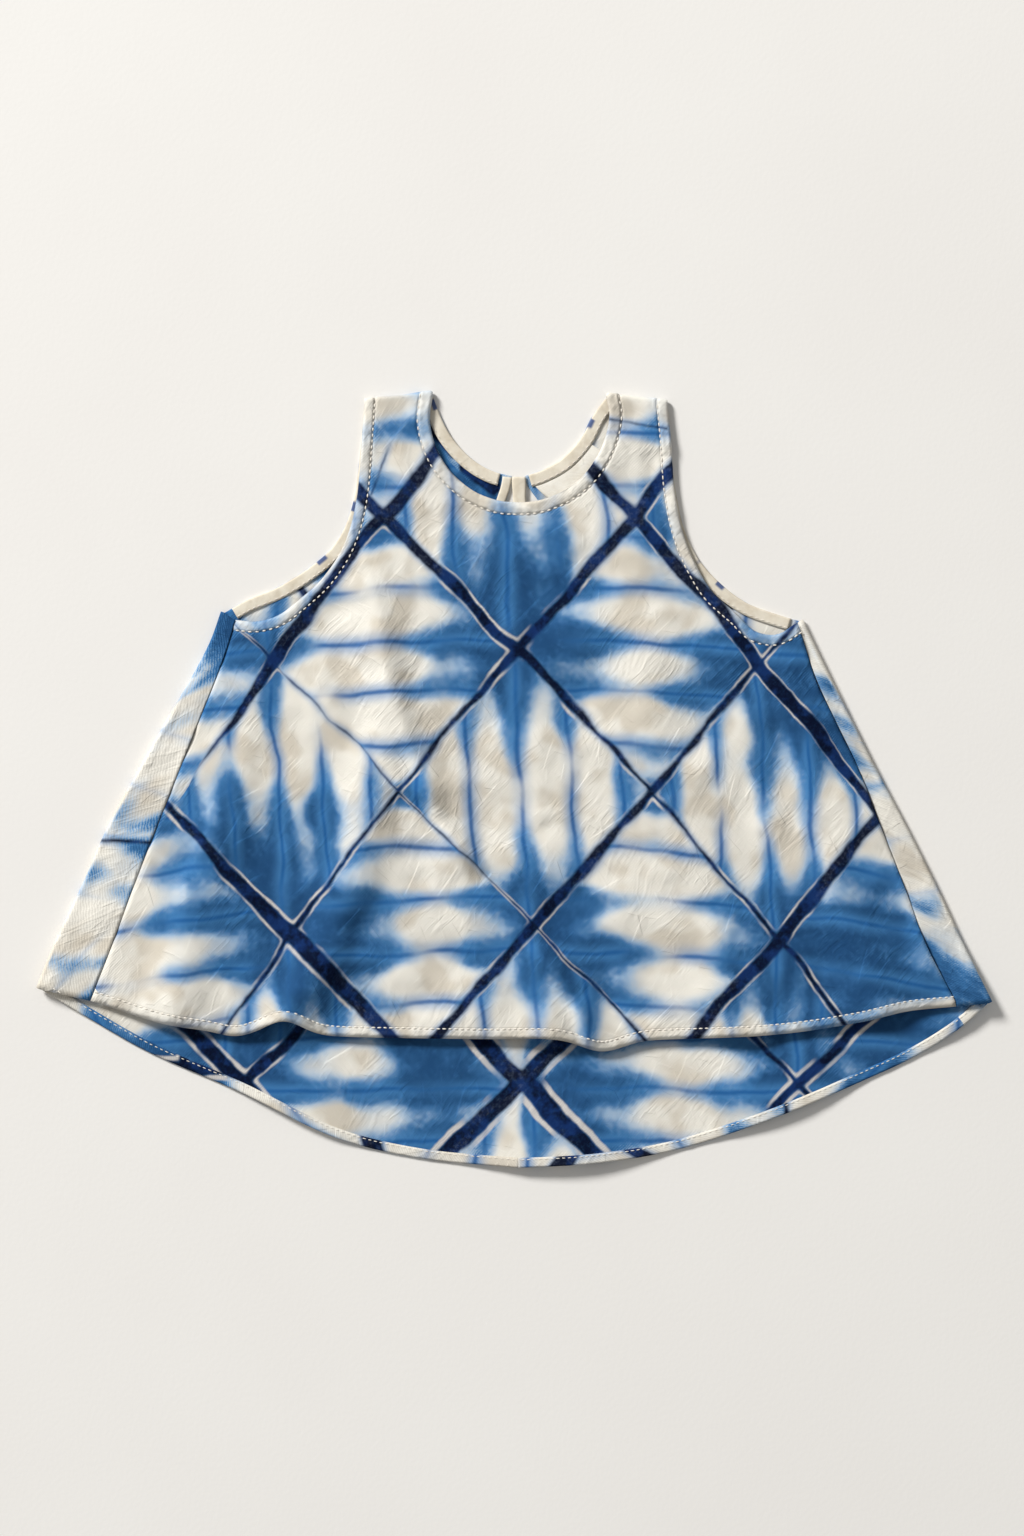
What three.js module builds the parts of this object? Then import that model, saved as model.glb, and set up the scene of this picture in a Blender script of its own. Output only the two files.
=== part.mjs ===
// A child's sleeveless A-line top in tie-dyed cotton, lying flat on its back with the front uppermost.
// Millimetres. X runs across the top to the right, Y runs up from the hem to the shoulders, Z is up.
// The back panel lies on the surface and folds over at both sides to meet the narrower front panel.
import * as THREE from "three";

// Driving sizes
const CLOTH = 1.2; // wall of each panel
const TRIM = 1.0; // wall of each facing, binding, tab and label
const LAYER_GAP = 0.3; // air between a trim and the panel it lies on
const SEAM_GAP = 0.4; // air between two panels at a seam
const LAYER_RISE = 3.4; // from the middle of the back wall to the middle of the front wall, at the edges
const BELLY_RISE = 1.5; // what the front adds to that rise half way between the side folds
const HEM_TURN = 5.0; // depth of the hem turned up inside the back
const HEM_TURN_WALL = 0.7; // what the turned hem adds to the back wall
const SHOULDER_WRAP = 6.0; // length of the front strap behind the shoulder fold
const FACING_WIDTH = 6.0;
const TRIM_INSET = 0.4; // a trim's edge inside the panel's edge
const TAB_WIDTH = 6.6;
const TAB_LENGTH = 20;
const TAB_LEAN = { top: 0.3, foot: 0.8 }; // to the right of the centre back
const CENTRE_X = 2.0; // centre back and centre front
const HEM_CENTRE = { front: -132.8, back: -198.4 };

// The side folds are the outline. The side seams lie forward of them, on the upper layer.
const SIDES = [
  { y: -114, leftFold: -247.2, leftSeam: -216.6, rightSeam: 225.2, rightFold: 244.2 },
  { y: -85, leftFold: -235.6, leftSeam: -205.3, rightSeam: 210.3, rightFold: 230.0 },
  { y: -55, leftFold: -221.6, leftSeam: -194.2, rightSeam: 199.0, rightFold: 216.0 },
  { y: -25, leftFold: -208.3, leftSeam: -182.5, rightSeam: 187.3, rightFold: 201.0 },
  { y: 5, leftFold: -192.0, leftSeam: -170.6, rightSeam: 175.6, rightFold: 185.2 },
  { y: 30, leftFold: -178.0, leftSeam: -160.6, rightSeam: 163.6, rightFold: 172.6 },
  { y: 50, leftFold: -166.3, leftSeam: -152.5, rightSeam: 154.2, rightFold: 162.7 },
  { y: 70, leftFold: -155.8, leftSeam: -145.4, rightSeam: 147.6, rightFold: 153.0 },
  { y: 86, leftFold: -150.0, leftSeam: -141.0, rightSeam: 142.4, rightFold: 145.6 },
];

// Where the side lines stop, at the hem and at the underarm.
const SIDE_ENDS = {
  left: { foldHem: -106.3, seamHem: -113.2, foldTop: 85.6, seamTop: 81.0 },
  right: { foldHem: -113.2, seamHem: -115.9, foldTop: 81.6, seamTop: 79.6 },
};

// Armhole edges from the underarm to the shoulder, and neck edges from the centre to the shoulder.
const FRONT_ARMHOLE = {
  left: [
    { x: -131.6, y: 80.2 },
    { x: -121.0, y: 83.0 },
    { x: -110.2, y: 90.8 },
    { x: -98.5, y: 101.5 },
    { x: -90.0, y: 113.4 },
    { x: -83.8, y: 127.8 },
    { x: -80.0, y: 145.0 },
    { x: -77.8, y: 171.0 },
  ],
  right: [
    { x: 134.0, y: 73.6 },
    { x: 123.0, y: 75.2 },
    { x: 114.0, y: 83.4 },
    { x: 101.0, y: 95.4 },
    { x: 91.8, y: 110.6 },
    { x: 85.4, y: 127.5 },
    { x: 81.6, y: 148.0 },
    { x: 79.8, y: 172.0 },
  ],
};
const BACK_ARMHOLE = {
  left: [
    { x: -137.2, y: 91.0 },
    { x: -121.4, y: 97.6 },
    { x: -107.1, y: 106.2 },
    { x: -93.0, y: 118.2 },
    { x: -85.6, y: 131.0 },
    { x: -81.4, y: 146.0 },
    { x: -78.6, y: 168.0 },
  ],
  right: [
    { x: 134.4, y: 84.0 },
    { x: 119.0, y: 89.8 },
    { x: 106.0, y: 99.2 },
    { x: 94.0, y: 112.4 },
    { x: 87.0, y: 127.0 },
    { x: 82.4, y: 147.0 },
    { x: 79.8, y: 170.0 },
  ],
};
const FRONT_NECK = {
  left: [
    { x: -8.2, y: 141.9 },
    { x: -20.7, y: 146.8 },
    { x: -32.0, y: 156.0 },
    { x: -39.4, y: 167.5 },
    { x: -43.2, y: 182.0 },
  ],
  right: [
    { x: 12.6, y: 142.0 },
    { x: 26.0, y: 147.6 },
    { x: 37.0, y: 156.6 },
    { x: 45.2, y: 170.5 },
    { x: 48.6, y: 185.0 },
  ],
};
const BACK_NECK = {
  left: [
    { x: -11.5, y: 157.4 },
    { x: -21.5, y: 163.4 },
    { x: -32.0, y: 174.6 },
    { x: -38.0, y: 186.0 },
  ],
  right: [
    { x: 14.0, y: 157.6 },
    { x: 25.0, y: 164.0 },
    { x: 34.4, y: 174.6 },
    { x: 40.4, y: 186.0 },
  ],
};
const NECK_BASE_Y = { front: 141.0, back: 154.6 };

// Outer line of each shoulder fold, from the neck to the armhole.
const SHOULDER = {
  left: { neck: { x: -42.0, y: 198.4 }, armhole: { x: -76.6, y: 194.6 } },
  right: { neck: { x: 47.2, y: 197.2 }, armhole: { x: 78.2, y: 194.0 } },
};

// The keyhole slit at the centre back: how far its edges stand from the centre, from foot to neck edge.
const KEYHOLE = [
  { y: 113.6, left: 4.6, right: 4.8 },
  { y: 121.0, left: 8.2, right: 9.4 },
  { y: 131.0, left: 8.6, right: 11.8 },
  { y: 141.0, left: 6.6, right: 10.6 },
  { y: 147.0, left: 4.6, right: 6.6 },
  { y: 151.0, left: 3.7, right: 4.2 },
];
const KEYHOLE_FOOT_Y = 110.5;
const KEYHOLE_TOP_HALF = 3.2;

// Hem edges. The front hem also moves with the folds that end in it.
const FRONT_HEM = [
  { x: -177, y: -125.0 },
  { x: -141, y: -129.6 },
  { x: -79, y: -131.6 },
  { x: 61, y: -133.0 },
  { x: 105, y: -131.8 },
  { x: 142, y: -129.4 },
  { x: 176, y: -124.0 },
  { x: 199, y: -118.6 },
];
const HEM_WAVES = [
  { x: -144, shift: -1.8, width: 10 },
  { x: -117, shift: 7.6, width: 13 },
  { x: 16, shift: 0.8, width: 16 },
  { x: 45, shift: -5.8, width: 15 },
];
const BACK_HEM = [
  { x: -213, y: -125.0 },
  { x: -187, y: -139.5 },
  { x: -139, y: -160.4 },
  { x: -89, y: -184.0 },
  { x: -47, y: -194.0 },
  { x: 44, y: -195.8 },
  { x: 83, y: -189.5 },
  { x: 126, y: -175.5 },
  { x: 174, y: -156.0 },
  { x: 207, y: -140.6 },
  { x: 229, y: -126.0 },
];

// Soft ridges of the front, each a crest line with its height and half width.
const FRONT_FOLDS = {
  leftCone: [
    { x: -73, y: 98, height: 2.0, width: 10 },
    { x: -66, y: 30, height: 4.5, width: 11 },
    { x: -78, y: -42, height: 5.5, width: 13 },
    { x: -100, y: -93, height: 6.0, width: 13 },
    { x: -119, y: -126, height: 7.0, width: 12 },
  ],
  leftBranch: [
    { x: -60, y: 14, height: 1.5, width: 7 },
    { x: -35, y: -29, height: 3.0, width: 8 },
    { x: -28, y: -52, height: 0.5, width: 9 },
  ],
  centreCone: [
    { x: 6, y: -62, height: 0.5, width: 10 },
    { x: 13, y: -105, height: 3.5, width: 11 },
    { x: 17, y: -134, height: 5.0, width: 12 },
  ],
  rightCone: [
    { x: 140, y: 45, height: 1.0, width: 13 },
    { x: 153, y: -11, height: 2.6, width: 14 },
    { x: 170, y: -64, height: 3.6, width: 14 },
    { x: 188, y: -120, height: 4.4, width: 14 },
  ],
  rightChest: [
    { x: 62, y: 112, height: 0.8, width: 14 },
    { x: 72, y: 30, height: 2.4, width: 16 },
    { x: 86, y: -52, height: 0.8, width: 16 },
  ],
  rightHem: [
    { x: 104, y: -64, height: 0.4, width: 13 },
    { x: 116, y: -131, height: 3.8, width: 14 },
  ],
  leftSide: [
    { x: -127, y: 58, height: 0.8, width: 12 },
    { x: -146, y: -20, height: 2.6, width: 13 },
    { x: -176, y: -125, height: 3.6, width: 14 },
  ],
};

// Places where the back's hem stands off the surface.
const BACK_LIFTS = [
  { x: -242, y: -108, height: 2.0, reach: 34 },
  { x: -112, y: -176, height: 3.0, reach: 48 },
  { x: 26, y: -200, height: 5.0, reach: 62 },
  { x: 140, y: -172, height: 3.5, reach: 50 },
  { x: 240, y: -116, height: 3.5, reach: 44 },
];

// Trims along the edges of the back. Each runs from one share of its edge's length to another,
// and its inner edge starts a little further along where it has a slant.
const EDGE_TRIMS = [
  {
    name: "neck_facing_left",
    edge: "neck",
    side: "left",
    from: 0.1,
    to: 0.97,
    slant: 0,
    steps: 22,
    inset: TRIM_INSET,
    width: FACING_WIDTH,
  },
  {
    name: "neck_facing_right",
    edge: "neck",
    side: "right",
    from: 0.035,
    to: 0.97,
    slant: 0,
    steps: 22,
    inset: TRIM_INSET,
    width: FACING_WIDTH,
  },
  {
    name: "neck_label",
    edge: "neck",
    side: "right",
    from: 0.06,
    to: 0.6,
    slant: 0.1,
    steps: 10,
    inset: TRIM_INSET + FACING_WIDTH + LAYER_GAP,
    width: 12.5,
  },
  {
    name: "armhole_facing_left",
    edge: "armhole",
    side: "left",
    from: 0.035,
    to: 0.98,
    slant: 0,
    steps: 26,
    inset: TRIM_INSET,
    width: FACING_WIDTH,
  },
  {
    name: "armhole_facing_right",
    edge: "armhole",
    side: "right",
    from: 0.035,
    to: 0.98,
    slant: 0,
    steps: 26,
    inset: TRIM_INSET,
    width: FACING_WIDTH,
  },
  {
    name: "keyhole_binding",
    edge: "keyhole",
    side: "left",
    from: 0.015,
    to: 0.985,
    slant: 0,
    steps: 16,
    inset: TRIM_INSET,
    width: 4.2,
  },
];

// Numbers of steps
const FRONT_COLUMNS = 19;
const BACK_COLUMNS = 14;
const SEAM_ROWS = 14;
const FRONT_CHEST_ROWS = 14;
const FRONT_NECK_ROWS = 11;
const UNDERARM_ROW_Y = 10; // where the underarm's row meets the centre front, as rows slope down inwards
// How far the rows near the underarm hang below straight lines: most at the underarm's own row,
// fading by a factor at each row above and below it, and gathered close to the armhole.
const UNDERARM_SAG = { depth: 4, gather: 8, fadeAbove: 0.4, fadeBelow: 0.7 };
const BACK_CENTRE_ROWS = 16;
const KEYHOLE_ROWS = 6;
const BACK_NECK_ROWS = 8;
const FOLD_STEPS = 5;
const STRIP_COLUMNS = 2;
const HEM_ROWS_ADDED = 2; // for the little step where the back's turned hem ends
const TURN_STEP = 0.4; // run of that step

const SIDE_NAMES = ["left", "right"];
const UP = new THREE.Vector3(0, 0, 1);
const DOWN = new THREE.Vector3(0, 0, -1);

// A smooth curve in the plane through a table of points.
function smoothCurve(points) {
  const list = points.map((p) => new THREE.Vector3(p.x, p.y, 0));
  return new THREE.CatmullRomCurve3(list, false, "centripetal");
}

// Points at equal steps along a curve.
function evenPoints(curve, steps) {
  return curve.getSpacedPoints(steps);
}

// One side line between two heights, at equal steps.
function sideLine(column, lowY, highY, steps) {
  const curve = smoothCurve(SIDES.map((row) => ({ x: row[column], y: row.y })));
  const at = (y) => {
    let low = 0;
    let high = 1;
    for (let i = 0; i < 40; i++) {
      const middle = (low + high) / 2;
      if (curve.getPoint(middle).y < y) low = middle;
      else high = middle;
    }
    return curve.getPoint(low);
  };
  const points = [];
  for (let i = 0; i <= steps; i++) points.push(at(lowY + ((highY - lowY) * i) / steps));
  return points;
}

// How far a point is from a crest line, with the crest's height and width there.
function nearestOnCrest(crest, x, y) {
  let best = { distance: Infinity, height: 0, width: 1 };
  for (let i = 0; i + 1 < crest.length; i++) {
    const a = crest[i];
    const b = crest[i + 1];
    const along = new THREE.Vector2(b.x - a.x, b.y - a.y);
    const from = new THREE.Vector2(x - a.x, y - a.y);
    const t = THREE.MathUtils.clamp(from.dot(along) / along.lengthSq(), 0, 1);
    const distance = from.addScaledVector(along, -t).length();
    if (distance < best.distance) {
      best = {
        distance,
        height: THREE.MathUtils.lerp(a.height, b.height, t),
        width: THREE.MathUtils.lerp(a.width, b.width, t),
      };
    }
  }
  return best;
}

// Middle of the back wall above the surface.
function backHeight(x, y) {
  let height = CLOTH / 2;
  for (const lift of BACK_LIFTS) {
    const share = Math.hypot(x - lift.x, y - lift.y) / lift.reach;
    if (share < 1) height += lift.height * (1 - share * share) ** 2;
  }
  return height;
}

// Middle of the front wall above the surface.
function frontHeight(x, y) {
  const halfWidth = THREE.MathUtils.mapLinear(y, -114, 82, 245, 149);
  const across = THREE.MathUtils.clamp(1 - ((x - CENTRE_X) / halfWidth) ** 2, 0, 1);
  const below = 1 - THREE.MathUtils.smoothstep(y, 70, 140);
  let height = backHeight(x, y) + LAYER_RISE + BELLY_RISE * across * below;
  for (const crest of Object.values(FRONT_FOLDS)) {
    const near = nearestOnCrest(crest, x, y);
    height += near.height * Math.exp(-((near.distance / near.width) ** 2));
  }
  return height;
}

// A sheet of quads with a middle point and an outward direction at each corner.
class Sheet {
  constructor() {
    this.points = [];
    this.outs = [];
    this.extras = [];
    this.quads = [];
    this.index = new Map();
  }

  // Adds a corner once. extra is what the inner face stands further in.
  corner(point, out, extra = 0) {
    const key = [point.x, point.y, point.z].map((v) => Math.round(v * 1e4)).join();
    if (!this.index.has(key)) {
      this.index.set(key, this.points.length);
      this.points.push(point.clone());
      this.outs.push(out.clone());
      this.extras.push(extra);
    }
    return this.index.get(key);
  }

  // Adds a grid of columns by rows, each corner from cornerAt(column, row).
  grid(columns, rows, cornerAt) {
    const ids = [];
    for (let row = 0; row <= rows; row++) {
      ids.push([]);
      for (let column = 0; column <= columns; column++) {
        const { point, out, extra } = cornerAt(column, row);
        ids[row].push(this.corner(point, out, extra));
      }
    }
    for (let row = 0; row < rows; row++) {
      for (let column = 0; column < columns; column++) {
        this.quads.push([
          ids[row][column],
          ids[row][column + 1],
          ids[row + 1][column + 1],
          ids[row + 1][column],
        ]);
      }
    }
  }

  // Turns a quad so that it faces outward.
  facing(quad) {
    const [a, b, c, d] = quad.map((id) => this.points[id]);
    const normal = c.clone().sub(a).cross(d.clone().sub(b));
    const out = new THREE.Vector3();
    for (const id of quad) out.add(this.outs[id]);
    return normal.dot(out) >= 0 ? quad : [...quad].reverse();
  }

  // Closes the sheet into a wall of the given thickness.
  wall(thickness) {
    const count = this.points.length;
    const outer = this.points.map((p, i) => p.clone().addScaledVector(this.outs[i], thickness / 2));
    const inner = this.points.map((p, i) =>
      p.clone().addScaledVector(this.outs[i], -thickness / 2 - this.extras[i]),
    );
    const triangles = [];
    const edges = new Map();
    for (const quad of this.quads.map((q) => this.facing(q))) {
      const [a, b, c, d] = quad;
      triangles.push([a, b, c], [a, c, d]);
      triangles.push([a + count, c + count, b + count], [a + count, d + count, c + count]);
      quad.forEach((id, i) => edges.set(`${id},${quad[(i + 1) % 4]}`, [id, quad[(i + 1) % 4]]));
    }
    for (const [a, b] of edges.values()) {
      if (edges.has(`${b},${a}`)) continue;
      triangles.push([b, a, a + count], [b, a + count, b + count]);
    }
    const geometry = new THREE.BufferGeometry().setFromPoints([...outer, ...inner]);
    geometry.setIndex(triangles.flat());
    geometry.computeVertexNormals();
    return geometry;
  }
}

// The fold that the cloth makes at an edge: centre points and outward directions in the plane.
function foldCentres(line, outward) {
  return line.map((point, i) => {
    const before = line[Math.max(i - 1, 0)];
    const after = line[Math.min(i + 1, line.length - 1)];
    const along = after.clone().sub(before).normalize();
    const out = new THREE.Vector3(along.y, -along.x, 0);
    if (out.dot(outward) < 0) out.negate();
    return { centre: point.clone().addScaledVector(out, -(LAYER_RISE + CLOTH) / 2), out };
  });
}

// A corner of the half turn between the lower and the upper layer. share runs from 0 below to 1 above.
function turnCorner({ centre, out }, share) {
  const low = backHeight(centre.x, centre.y);
  const radius = (frontHeight(centre.x, centre.y) - low) / 2;
  const angle = Math.PI * (share - 0.5);
  const direction = out.clone().multiplyScalar(Math.cos(angle)).addScaledVector(UP, Math.sin(angle));
  const point = new THREE.Vector3(centre.x, centre.y, low + radius).addScaledVector(direction, radius);
  return { point, out: direction };
}

function frontCorner(x, y) {
  return { point: new THREE.Vector3(x, y, frontHeight(x, y)), out: UP };
}

function backCorner(x, y, extra = 0) {
  return { point: new THREE.Vector3(x, y, backHeight(x, y)), out: DOWN, extra };
}

// Fold lines, seam lines and shoulder folds of both sides.
function sideParts(side) {
  const ends = SIDE_ENDS[side];
  const outward = new THREE.Vector3(side === "left" ? -1 : 1, 0, 0);
  const fold = sideLine(`${side}Fold`, ends.foldHem, ends.foldTop, SEAM_ROWS);
  const seam = sideLine(`${side}Seam`, ends.seamHem, ends.seamTop, SEAM_ROWS);
  const { neck, armhole } = SHOULDER[side];
  const shoulder = [0, 1].map((t) =>
    new THREE.Vector3(neck.x, neck.y, 0).lerp(new THREE.Vector3(armhole.x, armhole.y, 0), t),
  );
  return {
    outward,
    seam,
    fold: foldCentres(fold, outward),
    shoulder: foldCentres(shoulder, new THREE.Vector3(0, 1, 0)),
  };
}

// A point on the shoulder, set back from the fold's centre by a distance down the back.
function shoulderPoint(parts, share, back = 0) {
  const [neck, armhole] = parts.shoulder;
  const out = neck.out.clone().lerp(armhole.out, share).normalize();
  const centre = neck.centre.clone().lerp(armhole.centre, share).addScaledVector(out, -back);
  return { centre, out };
}

// The hem edge of half a panel, from the centre out to its last point.
function hemPoints(table, centreY, last, columns) {
  const outwards = Math.sign(last.x - CENTRE_X);
  const half = table.filter((p) => (p.x - CENTRE_X) * outwards > 0);
  if (outwards < 0) half.reverse();
  return evenPoints(smoothCurve([{ x: CENTRE_X, y: centreY }, ...half, last]), columns);
}

// The front hem, moved by the folds that end in it.
function frontHemPoints(seamFoot) {
  const edge = hemPoints(FRONT_HEM, HEM_CENTRE.front, seamFoot, FRONT_COLUMNS);
  for (const point of edge.slice(0, -1)) {
    for (const wave of HEM_WAVES) {
      point.y += wave.shift * Math.exp(-(((point.x - wave.x) / wave.width) ** 2));
    }
  }
  return edge;
}

// A point of a half panel: a straight row between its inner and outer edges, bent by a share of
// what the hem departs from straight.
function panelPoint({ inner, outer, hem }, column, row, hemShare) {
  const across = column / (hem.length - 1);
  const point = inner[row].clone().lerp(outer[row], across);
  const straight = inner[0].clone().lerp(outer[0], across);
  return point.addScaledVector(hem[column].clone().sub(straight), hemShare);
}

// Points up the centre line at equal steps.
function centreLine(lowY, highY, steps) {
  const points = [];
  for (let i = 0; i <= steps; i++) {
    points.push(new THREE.Vector3(CENTRE_X, THREE.MathUtils.lerp(lowY, highY, i / steps), 0));
  }
  return points;
}

// How far a row hangs below a straight line, so that it passes below the armhole's lowest point.
function underarmSag(column, row) {
  const { depth, gather, fadeAbove, fadeBelow } = UNDERARM_SAG;
  const near = (column / FRONT_COLUMNS) ** gather;
  const fade = row > SEAM_ROWS ? fadeAbove ** (row - SEAM_ROWS) : fadeBelow ** (SEAM_ROWS - row);
  return depth * 4 * near * (1 - near) * fade;
}

// Edges of half of the front: the centre and neck inside, the seam and armhole outside.
function frontEdges(side, parts) {
  const towards = side === "left" ? 1 : -1;
  const centre = [
    ...centreLine(HEM_CENTRE.front, UNDERARM_ROW_Y, SEAM_ROWS),
    ...centreLine(UNDERARM_ROW_Y, NECK_BASE_Y.front, FRONT_CHEST_ROWS).slice(1),
  ];
  const neckTable = [centre.at(-1), ...FRONT_NECK[side], shoulderPoint(parts, 0).centre];
  const neck = evenPoints(smoothCurve(neckTable), FRONT_NECK_ROWS);
  const seam = parts.seam.map((p) => p.clone().setX(p.x + (towards * SEAM_GAP) / 2));
  const armRows = FRONT_CHEST_ROWS + FRONT_NECK_ROWS;
  const armTable = [seam[SEAM_ROWS], ...FRONT_ARMHOLE[side], shoulderPoint(parts, 1).centre];
  const armhole = evenPoints(smoothCurve(armTable), armRows);
  return {
    inner: [...centre, ...neck.slice(1)],
    outer: [...seam, ...armhole.slice(1)],
    hem: frontHemPoints(seam[0]),
  };
}

// The front panel: both halves and the straps' turn over the shoulder.
function frontPanel() {
  const sheet = new Sheet();
  const rows = SEAM_ROWS + FRONT_CHEST_ROWS + FRONT_NECK_ROWS;
  for (const side of SIDE_NAMES) {
    const parts = sideParts(side);
    const edges = frontEdges(side, parts);
    sheet.grid(FRONT_COLUMNS, rows, (column, row) => {
      const hemShare = Math.max(0, 1 - row / SEAM_ROWS);
      const p = panelPoint(edges, column, row, hemShare);
      return frontCorner(p.x, p.y - underarmSag(column, row));
    });
    sheet.grid(FRONT_COLUMNS, FOLD_STEPS, (column, row) =>
      turnCorner(shoulderPoint(parts, column / FRONT_COLUMNS), 1 - row / FOLD_STEPS),
    );
    sheet.grid(FRONT_COLUMNS, 1, (column, row) => {
      const { centre } = shoulderPoint(parts, column / FRONT_COLUMNS, row * SHOULDER_WRAP);
      return backCorner(centre.x, centre.y);
    });
  }
  return sheet.wall(CLOTH);
}

// The keyhole's edge on one side, from its foot to the neck edge.
function keyholeEdge(side) {
  const sign = side === "left" ? -1 : 1;
  return smoothCurve([
    { x: CENTRE_X, y: KEYHOLE_FOOT_Y },
    ...KEYHOLE.map((row) => ({ x: CENTRE_X + sign * row[side], y: row.y })),
    { x: CENTRE_X + sign * KEYHOLE_TOP_HALF, y: NECK_BASE_Y.back },
  ]);
}

// The back neck edge on one side, from the keyhole to the shoulder seam or past it.
function backNeckEdge(side, parts, back) {
  const sign = side === "left" ? -1 : 1;
  const start = { x: CENTRE_X + sign * KEYHOLE_TOP_HALF, y: NECK_BASE_Y.back };
  return smoothCurve([start, ...BACK_NECK[side], shoulderPoint(parts, 0, back).centre]);
}

// The back armhole edge on one side, from the fold's centre to the shoulder seam or past it.
function backArmholeEdge(side, parts, back) {
  const start = parts.fold[SEAM_ROWS].centre;
  return smoothCurve([start, ...BACK_ARMHOLE[side], shoulderPoint(parts, 1, back).centre]);
}

// Edges of half of the back: the centre, keyhole and neck inside, the fold and armhole outside.
function backEdges(side, parts) {
  const centre = centreLine(HEM_CENTRE.back, KEYHOLE_FOOT_Y, BACK_CENTRE_ROWS);
  const strapEnd = SHOULDER_WRAP + SEAM_GAP;
  const keyhole = evenPoints(keyholeEdge(side), KEYHOLE_ROWS);
  const neck = evenPoints(backNeckEdge(side, parts, strapEnd), BACK_NECK_ROWS);
  const armRows = BACK_CENTRE_ROWS + KEYHOLE_ROWS + BACK_NECK_ROWS - SEAM_ROWS;
  const armhole = evenPoints(backArmholeEdge(side, parts, strapEnd), armRows);
  const fold = parts.fold.map((f) => f.centre);
  return {
    inner: [...centre, ...keyhole.slice(1), ...neck.slice(1)],
    outer: [...fold, ...armhole.slice(1)],
    hem: hemPoints(BACK_HEM, HEM_CENTRE.back, fold[0], BACK_COLUMNS),
  };
}

// A hem edge and the two rows above it, at both ends of the little step where the turned hem ends.
function hemRows(first, second, between) {
  const length = first.distanceTo(second);
  return [HEM_TURN, HEM_TURN + TURN_STEP].map((depth) => between(depth / length));
}

// A line of points with the two rows of the turned hem added.
function withHemRows(line) {
  const [first, second] = line;
  const added = hemRows(first, second, (share) => first.clone().lerp(second, share));
  return [first, ...added, ...line.slice(1)];
}

// The side fold's centres and directions with the two rows of the turned hem added.
function foldWithHemRows(fold) {
  const [first, second] = fold;
  const added = hemRows(first.centre, second.centre, (share) => ({
    centre: first.centre.clone().lerp(second.centre, share),
    out: first.out.clone().lerp(second.out, share).normalize(),
  }));
  return [first, ...added, ...fold.slice(1)];
}

// What the inner face stands further in at a row: the turned hem's wall.
function turnedWall(row) {
  return row < HEM_ROWS_ADDED ? HEM_TURN_WALL : 0;
}

// Half of the back's lower layer.
function addLowerLayer(sheet, edges) {
  const rows = HEM_ROWS_ADDED + BACK_CENTRE_ROWS + KEYHOLE_ROWS + BACK_NECK_ROWS;
  const inner = withHemRows(edges.inner);
  const outer = withHemRows(edges.outer);
  const bentLength = edges.inner[SEAM_ROWS].distanceTo(edges.inner[0]);
  sheet.grid(BACK_COLUMNS, rows, (column, row) => {
    const hemShare = Math.max(0, 1 - inner[row].distanceTo(inner[0]) / bentLength);
    const point = panelPoint({ inner, outer, hem: edges.hem }, column, row, hemShare);
    return backCorner(point.x, point.y, turnedWall(row));
  });
}

// One side's turn round the fold, and the strip from it to the side seam on the upper layer.
function addSideStrip(sheet, side, parts) {
  const rows = HEM_ROWS_ADDED + SEAM_ROWS;
  const folds = foldWithHemRows(parts.fold);
  sheet.grid(FOLD_STEPS, rows, (column, row) => {
    const share = column / FOLD_STEPS;
    return { ...turnCorner(folds[row], share), extra: turnedWall(row) * (1 - share) };
  });
  const outwards = side === "left" ? -1 : 1;
  const seam = parts.seam.map((p) => p.clone().setX(p.x + (outwards * SEAM_GAP) / 2));
  const seamRows = withHemRows(seam);
  sheet.grid(STRIP_COLUMNS, rows, (column, row) => {
    const p = folds[row].centre.clone().lerp(seamRows[row], column / STRIP_COLUMNS);
    return frontCorner(p.x, p.y);
  });
}

// The back panel: the lower layer, the turns at both sides and the strips up to the side seams.
function backPanel() {
  const sheet = new Sheet();
  for (const side of SIDE_NAMES) {
    const parts = sideParts(side);
    addLowerLayer(sheet, backEdges(side, parts));
    addSideStrip(sheet, side, parts);
  }
  return sheet.wall(CLOTH);
}

// A trim of even width that lies on the back's inner face along a curve. across is 1 where the
// trim lies to the left of the curve's direction, and -1 where it lies to the right.
function trimAlong(curve, { from, to, slant, steps, inset, width, across }) {
  const sheet = new Sheet();
  const columns = 2;
  const rise = CLOTH / 2 + LAYER_GAP + TRIM / 2;
  sheet.grid(columns, steps, (column, row) => {
    const start = from + (slant * column) / columns;
    const share = THREE.MathUtils.lerp(start, to, row / steps);
    const point = curve.getPointAt(share);
    const along = curve.getTangentAt(share);
    const aside = new THREE.Vector3(-along.y, along.x, 0).multiplyScalar(across);
    point.addScaledVector(aside, inset + (width * column) / columns);
    point.z = backHeight(point.x, point.y) + rise;
    return { point, out: UP };
  });
  return sheet.wall(TRIM);
}

// The edge of the back that a trim follows, and the side of it that the cloth is on.
function trimmedEdge({ edge, side }) {
  const left = side === "left" ? 1 : -1;
  if (edge === "keyhole") return { curve: keyholeEdge(side), across: left };
  const parts = sideParts(side);
  if (edge === "neck") return { curve: backNeckEdge(side, parts, 0), across: left };
  return { curve: backArmholeEdge(side, parts, 0), across: -left };
}

function edgeTrim(row) {
  const { curve, across } = trimmedEdge(row);
  return trimAlong(curve, { ...row, across });
}

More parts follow.
